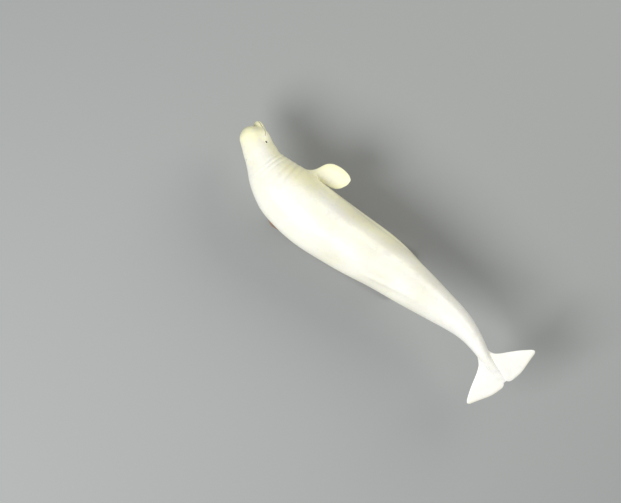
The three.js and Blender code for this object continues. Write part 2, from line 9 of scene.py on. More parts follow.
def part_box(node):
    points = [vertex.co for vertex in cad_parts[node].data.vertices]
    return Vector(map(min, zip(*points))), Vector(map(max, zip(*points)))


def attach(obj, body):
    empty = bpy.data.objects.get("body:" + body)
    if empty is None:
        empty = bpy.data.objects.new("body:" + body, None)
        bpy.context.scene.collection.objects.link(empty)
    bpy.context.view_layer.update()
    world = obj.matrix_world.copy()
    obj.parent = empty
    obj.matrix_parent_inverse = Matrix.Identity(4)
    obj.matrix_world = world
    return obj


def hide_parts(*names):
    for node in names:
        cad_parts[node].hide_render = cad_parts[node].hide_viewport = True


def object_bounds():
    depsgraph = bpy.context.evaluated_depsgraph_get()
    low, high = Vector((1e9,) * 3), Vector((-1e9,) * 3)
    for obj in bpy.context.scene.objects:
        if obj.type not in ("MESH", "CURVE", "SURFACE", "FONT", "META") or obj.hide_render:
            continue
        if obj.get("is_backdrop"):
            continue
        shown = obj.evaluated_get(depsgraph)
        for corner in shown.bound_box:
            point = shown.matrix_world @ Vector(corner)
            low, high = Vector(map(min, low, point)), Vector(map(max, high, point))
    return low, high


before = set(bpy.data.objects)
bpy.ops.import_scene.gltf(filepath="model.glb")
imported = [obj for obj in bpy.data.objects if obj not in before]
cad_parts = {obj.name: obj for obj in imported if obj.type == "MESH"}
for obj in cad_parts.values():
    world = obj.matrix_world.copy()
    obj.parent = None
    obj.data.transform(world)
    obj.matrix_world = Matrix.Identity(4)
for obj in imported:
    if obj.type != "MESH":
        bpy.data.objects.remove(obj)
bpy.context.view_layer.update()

# The whale's pose. A swimming whale is one long curve: its spine turns, dips and rolls from
# the tip of the beak to the flukes. Everything is drawn straight, in millimetres (x back
# from the beak tip, y to the whale's right, z to its back), and then laid along that spine.

metres = 0.001
course_of_trunk = 14.5  # degrees, as all turns here: how much, and between which places
head_turn = (35, 0, 1460)
trunk_turn = (4, 1150, 2000)
loin_turn = (6, 1950, 2500)
stock_turn = (22, 2990, 3600)
fluke_turn = (9, 3560, 3760)
nose_dip = (7, 100, 1300)
tail_rise = (9, 2300, 3300)
tail_level_off = (14, 3440, 3840)
fluke_roll = 8
trunk_roll = (38, 1900, 3350)
head_roll = (16, 250, 1150)
spine_height = 760
middle_of_whale = 2000
under_base = 1680  # the stand's base lies under this place of the spine


def ease(value, start, end):
    """Rises smoothly from 0 at start to 1 at end."""
    share = np.clip((np.asarray(value, float) - start) / (end - start), 0, 1)
    return share * share * (3 - 2 * share)


def so_far(x, bend):
    by, start, end = bend
    return by * ease(x, start, end)


def still_to_come(x, bend):
    return bend[0] - so_far(x, bend)


def axes_at(x):
    """Directions to the tail, to the whale's right and to its back at places on the spine."""
    turn = course_of_trunk - still_to_come(x, head_turn) - still_to_come(x, trunk_turn)
    turn = turn - so_far(x, loin_turn) - so_far(x, stock_turn) + so_far(x, fluke_turn)
    climb = still_to_come(x, nose_dip) + so_far(x, tail_rise) - so_far(x, tail_level_off)
    roll = fluke_roll + still_to_come(x, trunk_roll) + still_to_come(x, head_roll)
    turn, climb, roll = np.radians(turn), np.radians(climb), np.radians(roll)[..., None]
    level = np.cos(climb)
    tailward = np.stack([-np.sin(turn) * level, np.cos(turn) * level, np.sin(climb)], -1)
    right = np.cross((0.0, 0.0, 1.0), tailward)
    right /= np.linalg.norm(right, axis=-1, keepdims=True)
    right = right * np.cos(roll) + np.cross(tailward, right) * np.sin(roll)
    return tailward, right, np.cross(tailward, right)


spine_step = 10.0
spine_start, spine_end = -200.0, 4300
spine_x = np.arange(spine_start, spine_end + spine_step / 2, spine_step)
spine_tailward, spine_right, spine_back = axes_at(spine_x)
spine_at = np.cumsum(axes_at(spine_x - spine_step / 2)[0] * spine_step, axis=0)
spine_at -= spine_at[int((middle_of_whale - spine_start) / spine_step)]
spine_at[:, 2] += spine_height


def along_spine(table, x, unit=False):
    steps = (np.asarray(x, float) - spine_start) / spine_step
    before = np.clip(np.floor(steps).astype(int), 0, len(table) - 2)
    share = (steps - before)[..., None]
    value = table[before] * (1 - share) + table[before + 1] * share
    return value / np.linalg.norm(value, axis=-1, keepdims=True) if unit else value


def lay(points):
    """From the straight whale to its pose over the floor, still in millimetres."""
    x, y, z = points[..., 0], points[..., 1:2], points[..., 2:3]
    right = along_spine(spine_right, x, unit=True)
    back = along_spine(spine_back, x, unit=True)
    return along_spine(spine_at, x) + right * y + back * z + frame_shift


def straighten(points):
    """The way back from the pose to the straight whale, by small steps along the spine."""
    every, rounds, step = 8, 40, 0.7
    points = points - frame_shift
    near = ((points[:, None, :] - spine_at[None, ::every]) ** 2).sum(-1).argmin(1)
    x = spine_x[::every][near]
    for _ in range(rounds):
        off = points - along_spine(spine_at, x)
        x = x + step * (off * along_spine(spine_tailward, x, unit=True)).sum(-1)
    off = points - along_spine(spine_at, x)
    y = (off * along_spine(spine_right, x, unit=True)).sum(-1)
    z = (off * along_spine(spine_back, x, unit=True)).sum(-1)
    return np.stack([x, y, z], -1)


base_low, base_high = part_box("stand_base")
base_middle = np.array((base_low + base_high) / 2) / metres
frame_shift = np.zeros(3)
frame_shift[:2] = (base_middle - lay(np.array([under_base, 0.0, 0.0])))[:2]

# The whale's outline. The trunk is a row of sections that are a little fuller than an
# ellipse; melon, brow, cheeks and beak are rounded masses that melt into it, with the ridge
# that belugas have instead of a back fin, the fat folds along the sides and the neck creases.

trunk_stations = [  # distance from the beak tip, back, belly, half width, fullness
    (190, 124, 160, 118, 2.1),
    (310, 146, 190, 154, 2.1),
    (400, 157, 203, 180, 2.1),
    (480, 178, 206, 204, 2.1),
    (600, 226, 256, 248, 2.1),
    (730, 264, 300, 290, 2.1),
    (860, 292, 340, 320, 2.15),
    (1050, 302, 352, 336, 2.2),
    (1300, 312, 356, 342, 2.2),
    (1640, 306, 338, 324, 2.2),
    (2030, 286, 304, 297, 2.15),
    (2310, 264, 276, 272, 2.1),
    (2570, 234, 242, 240, 2.05),
    (2830, 198, 202, 200, 2),
    (3080, 162, 164, 158, 1.95),
    (3210, 144, 145, 135, 1.9),
    (3340, 126, 125, 110, 1.9),
    (3470, 107, 105, 88, 1.9),
    (3600, 86, 84, 68, 1.9),
    (3720, 58, 57, 52, 2),
    (3840, 34, 33, 40, 2),
    (3935, 17, 17, 26, 2),
    (3970, 11, 11, 22, 2),
    (3990, 6, 6, 18, 2),
]
trunk_start = 190
trunk_end = 3950
skull_reach = 108
head_end = 520
neck_level = 700

# Each mass: centre, half sizes along, across and high, how far it melts into the rest, and
# how square it is seen from above, 2 being an ellipse
melon = ((200, 0, 9), (127, 121, 101), 44, 2)
brow = ((155, 0, 4), (80, 92, 74), 30, 2)
upper_beak = ((154, 0, -104), (122, 77, 34), 24, 2.7)
lower_beak = ((162, 0, -138), (122, 76, 34), 18, 2.7)
cheeks = [((248, y, -96), (92, 54, 64), 40, 2) for y in (88, -88)]

ridge_from, ridge_to = 1850, 2900
ridge_height, ridge_half_width = 17, 31
fold_from, fold_to = 1200, 3000
fold_angle = math.radians(-52)
fold_height, fold_half_width = 19, 46
fold_furrow, fold_furrow_at = 13, 1.7
fade_share = 0.45
creases = ((514, 4), (558, 6.5), (607, 5))  # place and depth of each crease of the neck
crease_half_width, crease_wander, crease_wave = 12, 4, 57
crease_lean, crease_fade, crease_reach = 0.12, 130, 190


def through(rows):
    """A smooth curve through rows of place and values."""
    rows = np.array(rows, float)
    after = np.minimum(np.arange(len(rows)) + 1, len(rows) - 1)
    before = np.maximum(np.arange(len(rows)) - 1, 0)
    slopes = (rows[after, 1:] - rows[before, 1:]) / (rows[after, :1] - rows[before, :1])

    def at(place):
        inside = np.clip(np.asarray(place, float), rows[0, 0], rows[-1, 0])
        i = np.clip(np.searchsorted(rows[:, 0], inside), 1, len(rows) - 1)
        a, b = rows[i - 1], rows[i]
        span = (b[..., 0] - a[..., 0])[..., None]
        share = (inside - a[..., 0])[..., None] / span
        rise = b[..., 1:] - a[..., 1:]
        start = slopes[i - 1] * span - rise
        end = rise - slopes[i] * span
        return a[..., 1:] + share * rise + share * (1 - share) * (start * (1 - share) + end * share)

    return at


trunk_at = through(trunk_stations)


def section(x):
    """Height of the middle of the trunk's section over the spine, and half its own height."""
    back, belly = np.moveaxis(trunk_at(x)[..., :2], -1, 0)
    return (back - belly) / 2, (back + belly) / 2


def mass(p, form):
    centre, half_sizes, _, square = form
    along, across, high = np.moveaxis(np.abs((p - np.array(centre)) / np.array(half_sizes)), -1, 0)
    plan = (along**square + across**square) ** (1 / square)
    return (np.hypot(plan, high) - 1) * min(half_sizes)


def melt(a, b, reach):
    near = np.maximum(reach - np.abs(a - b), 0) / reach
    return np.minimum(a, b) - near * near * reach / 4


def fading(x, start, end):
    fade = (end - start) * fade_share
    return ease(x, start, start + fade) * (1 - ease(x, end - fade, end))


def bump(off, half_width, high=1.0):
    """A smooth rise whose top is where off is 0."""
    return high * np.exp(-((off / half_width) ** 2))


def on_the_right(y):
    """Rises smoothly from 0 on the whale's left side to 1 on its right side."""
    return (1 + np.tanh(y / crease_fade)) / 2


def body_lines(p, middle):
    """How far the ridge, the folds and the neck creases stand out of the trunk."""
    x, y, z = np.moveaxis(p, -1, 0)
    ridge = fading(x, ridge_from, ridge_to) * bump(y, ridge_half_width, ridge_height)
    turn = np.arctan2(z - middle, np.abs(y)) - fold_angle
    off = turn * np.hypot(y, z - middle) / fold_half_width
    fold = bump(off, 1, fold_height) - bump(off - fold_furrow_at, 1, fold_furrow)
    raised = np.where(z > middle, ridge, 0) + fading(x, fold_from, fold_to) * fold
    full = on_the_right(y) * bump(z - middle, crease_reach)
    for place, depth in creases:
        wander = crease_wander * np.sin(z / crease_wave + place)
        off = x - place - wander - crease_lean * (z - middle)
        raised = raised - full * bump(off, crease_half_width, depth)
    return raised


def skin_field(p):
    """Below zero inside the straight whale, above zero outside."""
    x, y, z = np.moveaxis(p, -1, 0)
    back, belly, flank, fullness = np.moveaxis(trunk_at(x), -1, 0)
    middle, high = (back - belly) / 2, (back + belly) / 2
    across = (np.abs(y) / flank) ** fullness + (np.abs(z - middle) / high) ** fullness
    ahead = np.maximum(trunk_start - x, 0) / skull_reach
    r = np.hypot(across ** (1 / fullness), ahead)
    trunk = (r - 1) * np.minimum(flank, high) - body_lines(p, middle)
    head = trunk
    for form in (melon, brow, *cheeks):
        head = melt(head, mass(p, form), form[2])
    beak = melt(mass(p, upper_beak), mass(p, lower_beak), lower_beak[2])
    head = melt(head, beak, upper_beak[2])
    return np.where(x > head_end, trunk, head)


def skin_point(origin, direction):
    """Where lines from inside the straight whale come out through its skin, by halving."""
    far_outside, halvings = 700.0, 30
    origin, direction = np.broadcast_arrays(np.asarray(origin, float), np.asarray(direction, float))
    inside = np.zeros(origin.shape[:-1])
    outside = np.full(origin.shape[:-1], far_outside)
    for _ in range(halvings):
        half = (inside + outside) / 2
        in_it = skin_field(origin + direction * half[..., None]) < 0
        inside = np.where(in_it, half, inside)
        outside = np.where(in_it, outside, half)
    return origin + direction * outside[..., None]


def way_out(p, probe=0.5):
    """The slope of the skin field, and its direction out of the skin."""
    slope = np.zeros_like(p)
    for axis, step in enumerate(np.eye(3) * probe):
        slope[..., axis] = skin_field(p + step) - skin_field(p - step)
    steep = np.linalg.norm(slope, axis=-1, keepdims=True)
    return slope / steep, steep[..., 0]


# The mouth line runs from the right corner round the front of the beak to the left corner.

mouth_corner = 242
mouth_turn = 112
mouth_front = 76
mouth_line = [  # distance from the beak tip, and height of the line where the lips meet
    (-20, -121),
    (36, -121),
    (80, -122),
    (125, -124),
    (168, -119),
    (207, -106),
    (242, -86),
]
mouth_height = through(mouth_line)
mouth_side_points, mouth_front_points = 24, 33


def mouth_course():
    """Points on the skin along the mouth line."""
    side = np.zeros(mouth_side_points)
    behind = np.linspace(mouth_corner, mouth_turn, mouth_side_points)
    round_front = np.linspace(0, np.pi, mouth_front_points)[1:-1]
    x = np.concatenate([behind, np.full(len(round_front), float(mouth_turn)), behind[::-1]])
    flank = np.concatenate([side + 1, np.cos(round_front), side - 1])
    ahead = np.concatenate([side, np.sin(round_front), side])
    z = mouth_height(x - mouth_front * ahead)[..., 0]
    zero = np.zeros_like(x)
    return skin_point(np.stack([x, zero, z], -1), np.stack([-ahead, flank, zero], -1))


# The skin starts as a sphere whose front pole becomes the beak tip and whose rear pole the
# notch of the flukes. Its rings are slid to their places along the straight whale, so that
# one line of points on each side runs exactly along the mouth.

around = 64
head_centre = np.array([215.0, 0.0, -62.0])
beak_slope = 0.333
beak_direction = np.array([-1.0, 0.0, -beak_slope]) / math.hypot(1, beak_slope)
face_openings = [3, 7, 12, *range(18, 91, 6)]
ring_places = [
    *range(224, 480, 15),
    *range(494, 700, 17),
    *range(708, 820, 28),
    *range(820, 1060, 20),
    *range(1060, 3540, 31),
    *range(3552, 3980, 24),
    3986,
]
ring_x = [0] * len(face_openings) + ring_places
ring_count = len(ring_x)
notch_of_flukes = 3994
mouth_spoke = 20  # the spokes are counted from the back over the right side
turn_of_spoke = 90 - 360 / around * np.arange(around)
mouth_spoke_turn = turn_of_spoke[mouth_spoke]
mouth_fades_by = 470  # behind the mouth's corner the spoke leaves the mouth's course
turns_tried = (12, -60, 300)  # the highest, the lowest, and how many


def round_ring(turn):
    turn = np.radians(turn)
    return np.stack([np.zeros_like(turn), np.cos(turn), np.sin(turn)], -1)


def ring_ray(ring, turn):
    """Start and direction of the line that finds a ring's point at a turn round the whale."""
    if ring < len(face_openings):
        opening = math.radians(face_openings[ring])
        way = beak_direction * math.cos(opening) + round_ring(turn) * math.sin(opening)
        return head_centre, way / np.linalg.norm(way, axis=-1, keepdims=True)
    x = ring_x[ring]
    rise = ease(x, head_centre[0], neck_level)
    z = head_centre[2] * (1 - rise) + section(x)[0] * rise
    return np.array([x, 0.0, z]), round_ring(turn)


def mouth_turn_of(ring):
    """The turn at which a ring crosses the mouth line, or else the lowest one tried."""
    turns = np.linspace(*turns_tried)
    p = skin_point(*ring_ray(ring, turns))
    above = p[:, 2] - mouth_height(p[:, 0])[:, 0]
    return turns[int(np.argmax(above < 0)) if (above < 0).any() else -1]


def ring_points(ring, mouth_at):
    """The ring's points, drawn together or apart so that one on each side is at the mouth."""
    mirrored = np.where(turn_of_spoke < -90, -180 - turn_of_spoke, turn_of_spoke)
    above = mouth_at + (mirrored - mouth_spoke_turn) * (90 - mouth_at) / (90 - mouth_spoke_turn)
    below = -90 + (mirrored + 90) * (mouth_at + 90) / (mouth_spoke_turn + 90)
    turn = np.where(mirrored > mouth_spoke_turn, above, below)
    turn = np.where(turn_of_spoke < -90, -180 - turn, turn)
    return skin_point(*ring_ray(ring, turn))


rings = []
for ring, x in enumerate(ring_x):
    if x <= mouth_corner:
        mouth_at = corner_turn = mouth_turn_of(ring)
    else:
        fade = ease(x, mouth_corner, mouth_fades_by)
        mouth_at = corner_turn * (1 - fade) + mouth_spoke_turn * fade
    rings.append(ring_points(ring, mouth_at))
beak_tip = skin_point(head_centre, beak_direction)
tail_tip = np.array([notch_of_flukes, 0.0, 0.0])


def pick(obj):
    """Makes a piece the only one selected, and the active one."""
    bpy.ops.object.select_all(action="DESELECT")
    obj.select_set(True)
    bpy.context.view_layer.objects.active = obj


def corners_of(obj):
    flat = np.empty(len(obj.data.vertices) * 3, np.float32)
    obj.data.vertices.foreach_get("co", flat)
    return flat.reshape(-1, 3).astype(float)


def move_corners(obj, places):
    obj.data.vertices.foreach_set("co", places.astype(np.float32).ravel())
    obj.data.update()


def just_added(name):
    """Names the piece that was added last, and picks it."""
    piece = bpy.context.object
    piece.name = name
    pick(piece)
    return piece


bpy.ops.mesh.primitive_uv_sphere_add(segments=around, ring_count=ring_count + 1, radius=1)
skin = just_added("whale_skin")
ball = corners_of(skin)
ring_of = np.rint(np.arccos(np.clip(ball[:, 2], -1, 1)) / np.pi * (ring_count + 1)).astype(int)
spoke_of = np.rint(np.arctan2(ball[:, 1], ball[:, 0]) / (2 * np.pi) * around).astype(int) % around
laid = np.array(rings)[np.clip(ring_of, 1, ring_count) - 1, spoke_of]
laid[ring_of == 0] = beak_tip
laid[ring_of == ring_count + 1] = tail_tip
move_corners(skin, laid)

# Flippers, flukes and eyelids grow out of the sphere's skin: a patch between two rings and two
# spokes is cut away and the rim of the hole is extruded ring by ring. A point remembers its
# turn round the growth, and "own" keeps it from being drawn back on to the trunk later.


def stored(name):
    values = np.empty(len(skin.data.vertices), np.float32)
    skin.data.attributes[name].data.foreach_get("value", values)
    return values


def remember(obj, name, values):
    """Stores a number or a vector at each of a piece's points."""
    kind, field = ("FLOAT", "value") if values.ndim == 1 else ("FLOAT_VECTOR", "vector")
    layer = obj.data.attributes.new(name, kind, "POINT")
    layer.data.foreach_set(field, values.astype(np.float32).ravel())


unset = np.zeros(len(ring_of))
for name, values in (("ring", ring_of), ("spoke", spoke_of), ("turn", unset), ("own", unset)):
    remember(skin, name, values)
pick(skin)
bpy.ops.object.mode_set(mode="EDIT")


def choose(obj, kind, chosen):
    """Selects the corners, edges or faces that are chosen on a piece in edit mode."""
    bpy.ops.mesh.select_mode(type=kind)
    bpy.ops.mesh.select_all(action="DESELECT")
    shape = bmesh.from_edit_mesh(obj.data)
    parts = {"VERT": shape.verts, "EDGE": shape.edges, "FACE": shape.faces}[kind]
    for part, choice in zip(parts, chosen(shape)):
        if choice:
            part.select_set(True)
    bmesh.update_edit_mesh(obj.data)


def ring_at(x):
    """The number of the ring at a place, the beak tip being ring 0."""
    return np.interp(x, ring_places, np.arange(len(ring_places)) + len(face_openings) + 1)


def between(rings, spokes):
    """Chooses the faces between two rings and two spokes."""

    def chosen(shape):
        ring, spoke = shape.verts.layers.float["ring"], shape.verts.layers.float["spoke"]
        for face in shape.faces:
            on_rings = [point[ring] for point in face.verts]
            on_spokes = [point[spoke] for point in face.verts]
            along = rings[0] < sum(on_rings) / len(on_rings) < rings[1]
            up = spokes[0] < sum(on_spokes) / len(on_spokes) < spokes[1]
            yield along and up and max(on_spokes) - min(on_spokes) < 2

    return chosen


def on_side(spokes, flank):
    """The same spokes on the right side of the whale or on its left side."""
    return spokes if flank > 0 else (around - spokes[1], around - spokes[0])


def cut_patch(rings, spokes, flank, turn_at=None):
    """Cuts a patch away and leaves its rim selected, each point with its turn round it, from
    the front over the upper side. The turns are spread evenly, unless turn_at gives them."""
    choose(skin, "FACE", between(rings, on_side(spokes, flank)))
    bpy.ops.mesh.delete(type="FACE")
    bpy.ops.mesh.select_mode(type="EDGE")
    bpy.ops.mesh.select_non_manifold(extend=False, use_wire=False, use_multi_face=False,
                                     use_non_contiguous=False, use_verts=False)
    shape = bmesh.from_edit_mesh(skin.data)
    ring, spoke, turn = (shape.verts.layers.float[name] for name in ("ring", "spoke", "turn"))
    rim = [point for point in shape.verts if point.select]
    along = np.array([point[ring] for point in rim]) - sum(rings) / 2
    up = (sum(on_side(spokes, flank)) / 2 - np.array([point[spoke] for point in rim])) * flank
    turns = np.arctan2(up / (spokes[1] - spokes[0]), -along / (rings[1] - rings[0]))
    if turn_at:
        turns = turn_at(np.array([point.co for point in rim]))
    else:
        order = np.argsort(turns)
        first = int(np.argmin(np.abs(turns[order])))
        turns[order] = 2 * np.pi * (np.arange(len(rim)) - first) / len(rim)
    for point, value in zip(rim, turns):
        point[turn] = value
    bmesh.update_edit_mesh(skin.data)


def grow_ring(place):
    """Extrudes the selected rim once; place gives the new points from their turns."""
    bpy.ops.mesh.extrude_edges_indiv()
    shape = bmesh.from_edit_mesh(skin.data)
    turn, own = shape.verts.layers.float["turn"], shape.verts.layers.float["own"]
    rim = [point for point in shape.verts if point.select]
    for point, at in zip(rim, place(np.array([point[turn] for point in rim]))):
        point.co = at
        point[own] = 1
    bmesh.update_edit_mesh(skin.data)


# A flipper is a broad rounded paddle with a thick front edge and a thin rear one. It leaves
# the chest low on its side, droops and points back, and its tip is curled up a little.

flipper_stations = [  # distance out from the root, front edge ahead, rear edge behind, thickness
    (-85, 36, 60, 54),
    (0, 42, 60, 46),
    (60, 64, 53, 38),
    (108, 103, 58, 33),
    (152, 131, 74, 29),
    (202, 144, 96, 25),
    (248, 140, 113, 22),
    (293, 126, 118, 19),
    (340, 103, 105, 16),
    (382, 75, 78, 13),
    (415, 43, 47, 10),
    (435, 15, 16, 8),
]
flipper_at = through(flipper_stations)
flipper_long = 435
flipper_lens, flipper_tip = 0.62, 24
flipper_curl = (16, 170, 435)
flipper_root_x = 925
flipper_root_turn = -46
flipper_root_inset = 12
flipper_droop = math.radians(50)
flipper_sweep = math.radians(37)
flipper_patch = (840, 1040)
flipper_spokes = (23, 25)
flipper_free = 105  # from here out the whole ring is clear of the chest
flipper_root_clear = 34
flipper_root_shares = (0.04, 0.24, 0.48, 0.74, 1)
flipper_rings = (128, 150, 172, 195, 220, 246, 272, 298, 324, 348, 370, 390, 406, 418, 427, 432, 434.4)


def flipper_frame(flank):
    """The root on the chest, and the ways out along the flipper, ahead and up, in the pose."""
    across = round_ring(flipper_root_turn) * (1, flank, 1)
    on_skin = skin_point((flipper_root_x, 0, section(flipper_root_x)[0]), across)
    root = lay(on_skin - across * flipper_root_inset)
    tailward, right, up = axes_at(float(flipper_root_x))
    aside = right * flank * math.cos(flipper_droop) - up * math.sin(flipper_droop)
    outward = tailward * math.cos(flipper_sweep) + aside * math.sin(flipper_sweep)
    forward = aside * math.cos(flipper_sweep) - tailward * math.sin(flipper_sweep)
    return root, outward, forward, np.cross(outward, forward) * flank


def rounded_tip(out, end, reach):
    """The share of its width that a fin keeps towards its tip."""
    return np.sqrt(1 - (np.clip(out - (end - reach), 0, reach) / reach) ** 2)


def flipper_points(out, turn, flank):
    root, outward, forward, upward = flipper_frame(flank)
    ahead, behind, thick = np.moveaxis(flipper_at(out), -1, 0)
    width = rounded_tip(out, flipper_long, flipper_tip) * (ahead + behind) / 2
    across = width * np.cos(turn) + (ahead - behind) / 2
    lens = np.sin(turn) * (np.abs(np.sin(turn)) * (1 - flipper_lens) + flipper_lens)
    rise = thick / 2 * lens + so_far(out, flipper_curl)
    p = root + np.multiply.outer(out, outward) + np.multiply.outer(across, forward)
    return straighten(p + np.multiply.outer(rise, upward))


def flipper_root_out(turn):
    """How far out along its axis each line of the flipper leaves the chest."""
    ahead, behind, _ = flipper_at(0.0)
    across = (ahead + behind) / 2 * np.cos(turn) + (ahead - behind) / 2
    return -across * math.cos(flipper_sweep) / math.sin(flipper_sweep) + flipper_root_clear


def grow_fin(flank, patch, spokes, points, root_out, free, root_shares, outs):
    """Grows a fin out of a patch, ring by ring: from the curve of its root to the first ring
    that is clear of the body, and from there out to its tip, which is then closed."""
    cut_patch(ring_at(patch), spokes, flank)
    for share in root_shares:
        grow_ring(lambda turn: points(root_out(turn) * (1 - share) + free * share, turn, flank))
    for out in outs:
        grow_ring(lambda turn: points(np.full(turn.shape, float(out)), turn, flank))
    bpy.ops.mesh.edge_face_add()


# The flukes are two wings of tough white gristle on the end of the tail stock, blunt in
# front and thin behind, with the notch between them.

fluke_stations = [  # distance out from the middle, leading edge, trailing edge, thickness
    (0, 3560, 3994, 66),
    (30, 3568, 4010, 64),
    (62, 3604, 4024, 58),
    (100, 3672, 4024, 50),
    (150, 3714, 4022, 41),
    (210, 3749, 4014, 33),
    (280, 3788, 3992, 25),
    (345, 3827, 3970, 19),
    (402, 3867, 3952, 14),
    (438, 3893, 3942, 10),
    (454, 3908, 3930, 8),
]
fluke_at = through(fluke_stations)
fluke_half_span = 454
fluke_rise = 14
fluke_tip = 22
fluke_front_fullness, fluke_rear_fullness, fluke_edge = 1.12, 0.5, 0.12
fluke_patch = (3600, 3986)
fluke_spokes = (11, 21)
fluke_free = 112
fluke_root_clear = 7
fluke_root_shares = (0.0, 0.3, 0.65, 1)
fluke_rings = (136, 162, 190, 220, 250, 280, 310, 338, 364, 388, 409, 427, 441, 449, 453)


def fluke_points(out, turn, flank):
    leading, trailing, thick = np.moveaxis(fluke_at(out), -1, 0)
    middle, width = (leading + trailing) / 2, (trailing - leading) / 2
    width = width * rounded_tip(out, fluke_half_span, fluke_tip)
    leading, trailing = middle - width, middle + width
    back = (1 - np.cos(turn)) / 2
    fullness = fluke_front_fullness * (1 - back) + fluke_rear_fullness * back
    blade = np.abs(np.sin(turn)) * fullness + fluke_edge * back
    z = thick / 2 * blade * np.sign(np.sin(turn)) + fluke_rise * (out / fluke_half_span) ** 2
    return np.stack([leading + (trailing - leading) * back, flank * out, z], -1)


def fluke_root_out(turn):
    """Where each line of the fluke leaves the side of the stock."""
    front = fluke_patch[0]
    x = front + (notch_of_flukes - front) * (1 - np.cos(turn)) / 2
    return trunk_at(x)[:, 2] + fluke_root_clear


# Lids: two soft rolls round an almond opening, and the socket behind it that holds the eye.

eye_x, eye_z = 314, -62
lid_rings = [  # half length and half height of each ring, and how far it stands out of the skin
    (26, 17, 0.8),
    (23, 15, 2.1),
    (20.5, 13, 3.6),
    (18, 11, 4.3),
    (16.2, 9.3, 3.9),
    (15.2, 8.3, 2.2),
    (14.8, 7.9, -1),
    (14.4, 7.6, -8),
    (14, 7.2, -17),
]
lid_corner = 0.35  # share of its height that a lid keeps at the corners of the eye
lid_patch = (284, 344)
lid_cut, lid_refined = 1.5, 3.5  # half widths of the hole and of the finer skin, in spokes
lid_rings_refined = 2  # before the hole and behind it
lid_slant = 0.04


def eye_spoke():
    """The spoke that the eye lies on, to the nearest half."""
    spoke = np.arange(mouth_spoke - 8, mouth_spoke + 2)
    heights = np.array(rings)[int(ring_at(eye_x)) - 1, spoke, 2]
    return round(2 * np.interp(-eye_z, -heights, spoke)) / 2


def lid_turn(p):
    long, high, _ = lid_rings[0]
    return np.arctan2((p[:, 2] - eye_z) / high, (eye_x - p[:, 0]) / long)


def add_lids(flank):
    front, rear = ring_at(lid_patch)
    spoke = eye_spoke()
    wider = on_side((spoke - lid_refined, spoke + lid_refined), flank)
    longer = (front - lid_rings_refined, rear + lid_rings_refined)
    choose(skin, "FACE", between(longer, wider))
    bpy.ops.mesh.subdivide(number_cuts=1)
    cut_patch((front, rear), (spoke - lid_cut, spoke + lid_cut), flank, lid_turn)
    for long, high, proud in lid_rings:

        def lid_points(turn):
            x = eye_x - long * np.cos(turn)
            z = eye_z + high * np.sin(turn) - lid_slant * (x - eye_x)
            zero = np.zeros_like(x)
            p = skin_point(np.stack([x, zero, z], -1), (0, flank, 0))
            to_corner = 1 - np.abs(np.sin(turn)) if proud > 0 else zero
            out = proud * (1 - (1 - lid_corner) * to_corner)
            return p + np.multiply.outer(out, (0, flank, 0))

        grow_ring(lid_points)
    bpy.ops.mesh.edge_face_add()


def edit_all():
    """Opens the active piece for editing, with all of it selected."""
    bpy.ops.object.mode_set(mode="EDIT")
    bpy.ops.mesh.select_all(action="SELECT")


def turn_faces_out():
    """Turns all faces of the active piece outward."""
    edit_all()
    bpy.ops.mesh.normals_make_consistent(inside=False)
    bpy.ops.object.mode_set(mode="OBJECT")


for flank in (1, -1):
    grow_fin(flank, flipper_patch, flipper_spokes, flipper_points, flipper_root_out,
             flipper_free, flipper_root_shares, flipper_rings)
    grow_fin(flank, fluke_patch, fluke_spokes, fluke_points, fluke_root_out,
             fluke_free, fluke_root_shares, fluke_rings)
    add_lids(flank)
turn_faces_out()

smoothing = skin.modifiers.new("smoothing", "SUBSURF")
smoothing.levels = smoothing.render_levels = 1
bpy.ops.object.modifier_apply(modifier=smoothing.name)

# Fine relief: lips along the mouth, the blowhole's crescent with its rim, wrinkles round the
# eyes, the ear holes, folds at the flippers' roots, and the navel and slits under the belly.
# The skin round the small ones is divided finer first.

mouth_points = mouth_course()
blowhole_x = 392
blowhole_half_width = 34
blowhole_bow = 17
blowhole_to_the_left = 8
ear_x, ear_z = 404, -84
finer_eye_x, finer_eye_z = eye_x + 6, eye_z - 4  # middle of the finer skin round an eye
crease_from, crease_to, crease_right_of, crease_within = 485, 640, 20, 260
navel_x, navel_half_long = 1880, 45
belly_slits = ((2560, 78), (2784, 24))  # middle and half length
face_end = mouth_corner + 60  # behind it nothing belongs to the mouth
head_top = 60  # over it lies the blowhole
blowhole_reach = 90
blowhole_ends = (0.8, 1.15)  # shares of its half width between which it dies away


def off_mouth(p):
    """Distance from the mouth line, above it positive, and the distance from its ends."""
    start, end = mouth_points[:-1], mouth_points[1:]
    way = end - start
    share = ((p[:, None] - start) * way).sum(-1) / (way**2).sum(-1)
    nearest = start + np.clip(share, 0, 1)[..., None] * way
    distance = np.linalg.norm(p[:, None] - nearest, axis=-1)
    i = distance.argmin(1)
    rows = np.arange(len(p))
    long = np.concatenate([[0], np.cumsum(np.linalg.norm(way, axis=-1))])
    along = long[i] + np.clip(share[rows, i], 0, 1) * (long[i + 1] - long[i])
    sign = np.where(p[:, 2] > nearest[rows, i, 2], 1, -1)
    return distance[rows, i] * sign, np.minimum(along, long[-1] - along)


def off_blowhole(p):
    """Distance behind the blowhole's crescent, and how far along it, 1 at its horns."""
    along = (p[:, 1] + blowhole_to_the_left) / blowhole_half_width
    return p[:, 0] - (blowhole_x - blowhole_bow * along**2), np.abs(along)


def from_mouth(p):
    distance = np.full(len(p), np.inf)
    face = p[:, 0] < face_end
    distance[face] = np.abs(off_mouth(p[face])[0])
    return distance


def from_blowhole(p):
    behind, along = off_blowhole(p)
    off = np.maximum(np.abs(behind), (along - blowhole_ends[1]) * blowhole_reach)
    return np.where(p[:, 2] > head_top, off, np.inf)


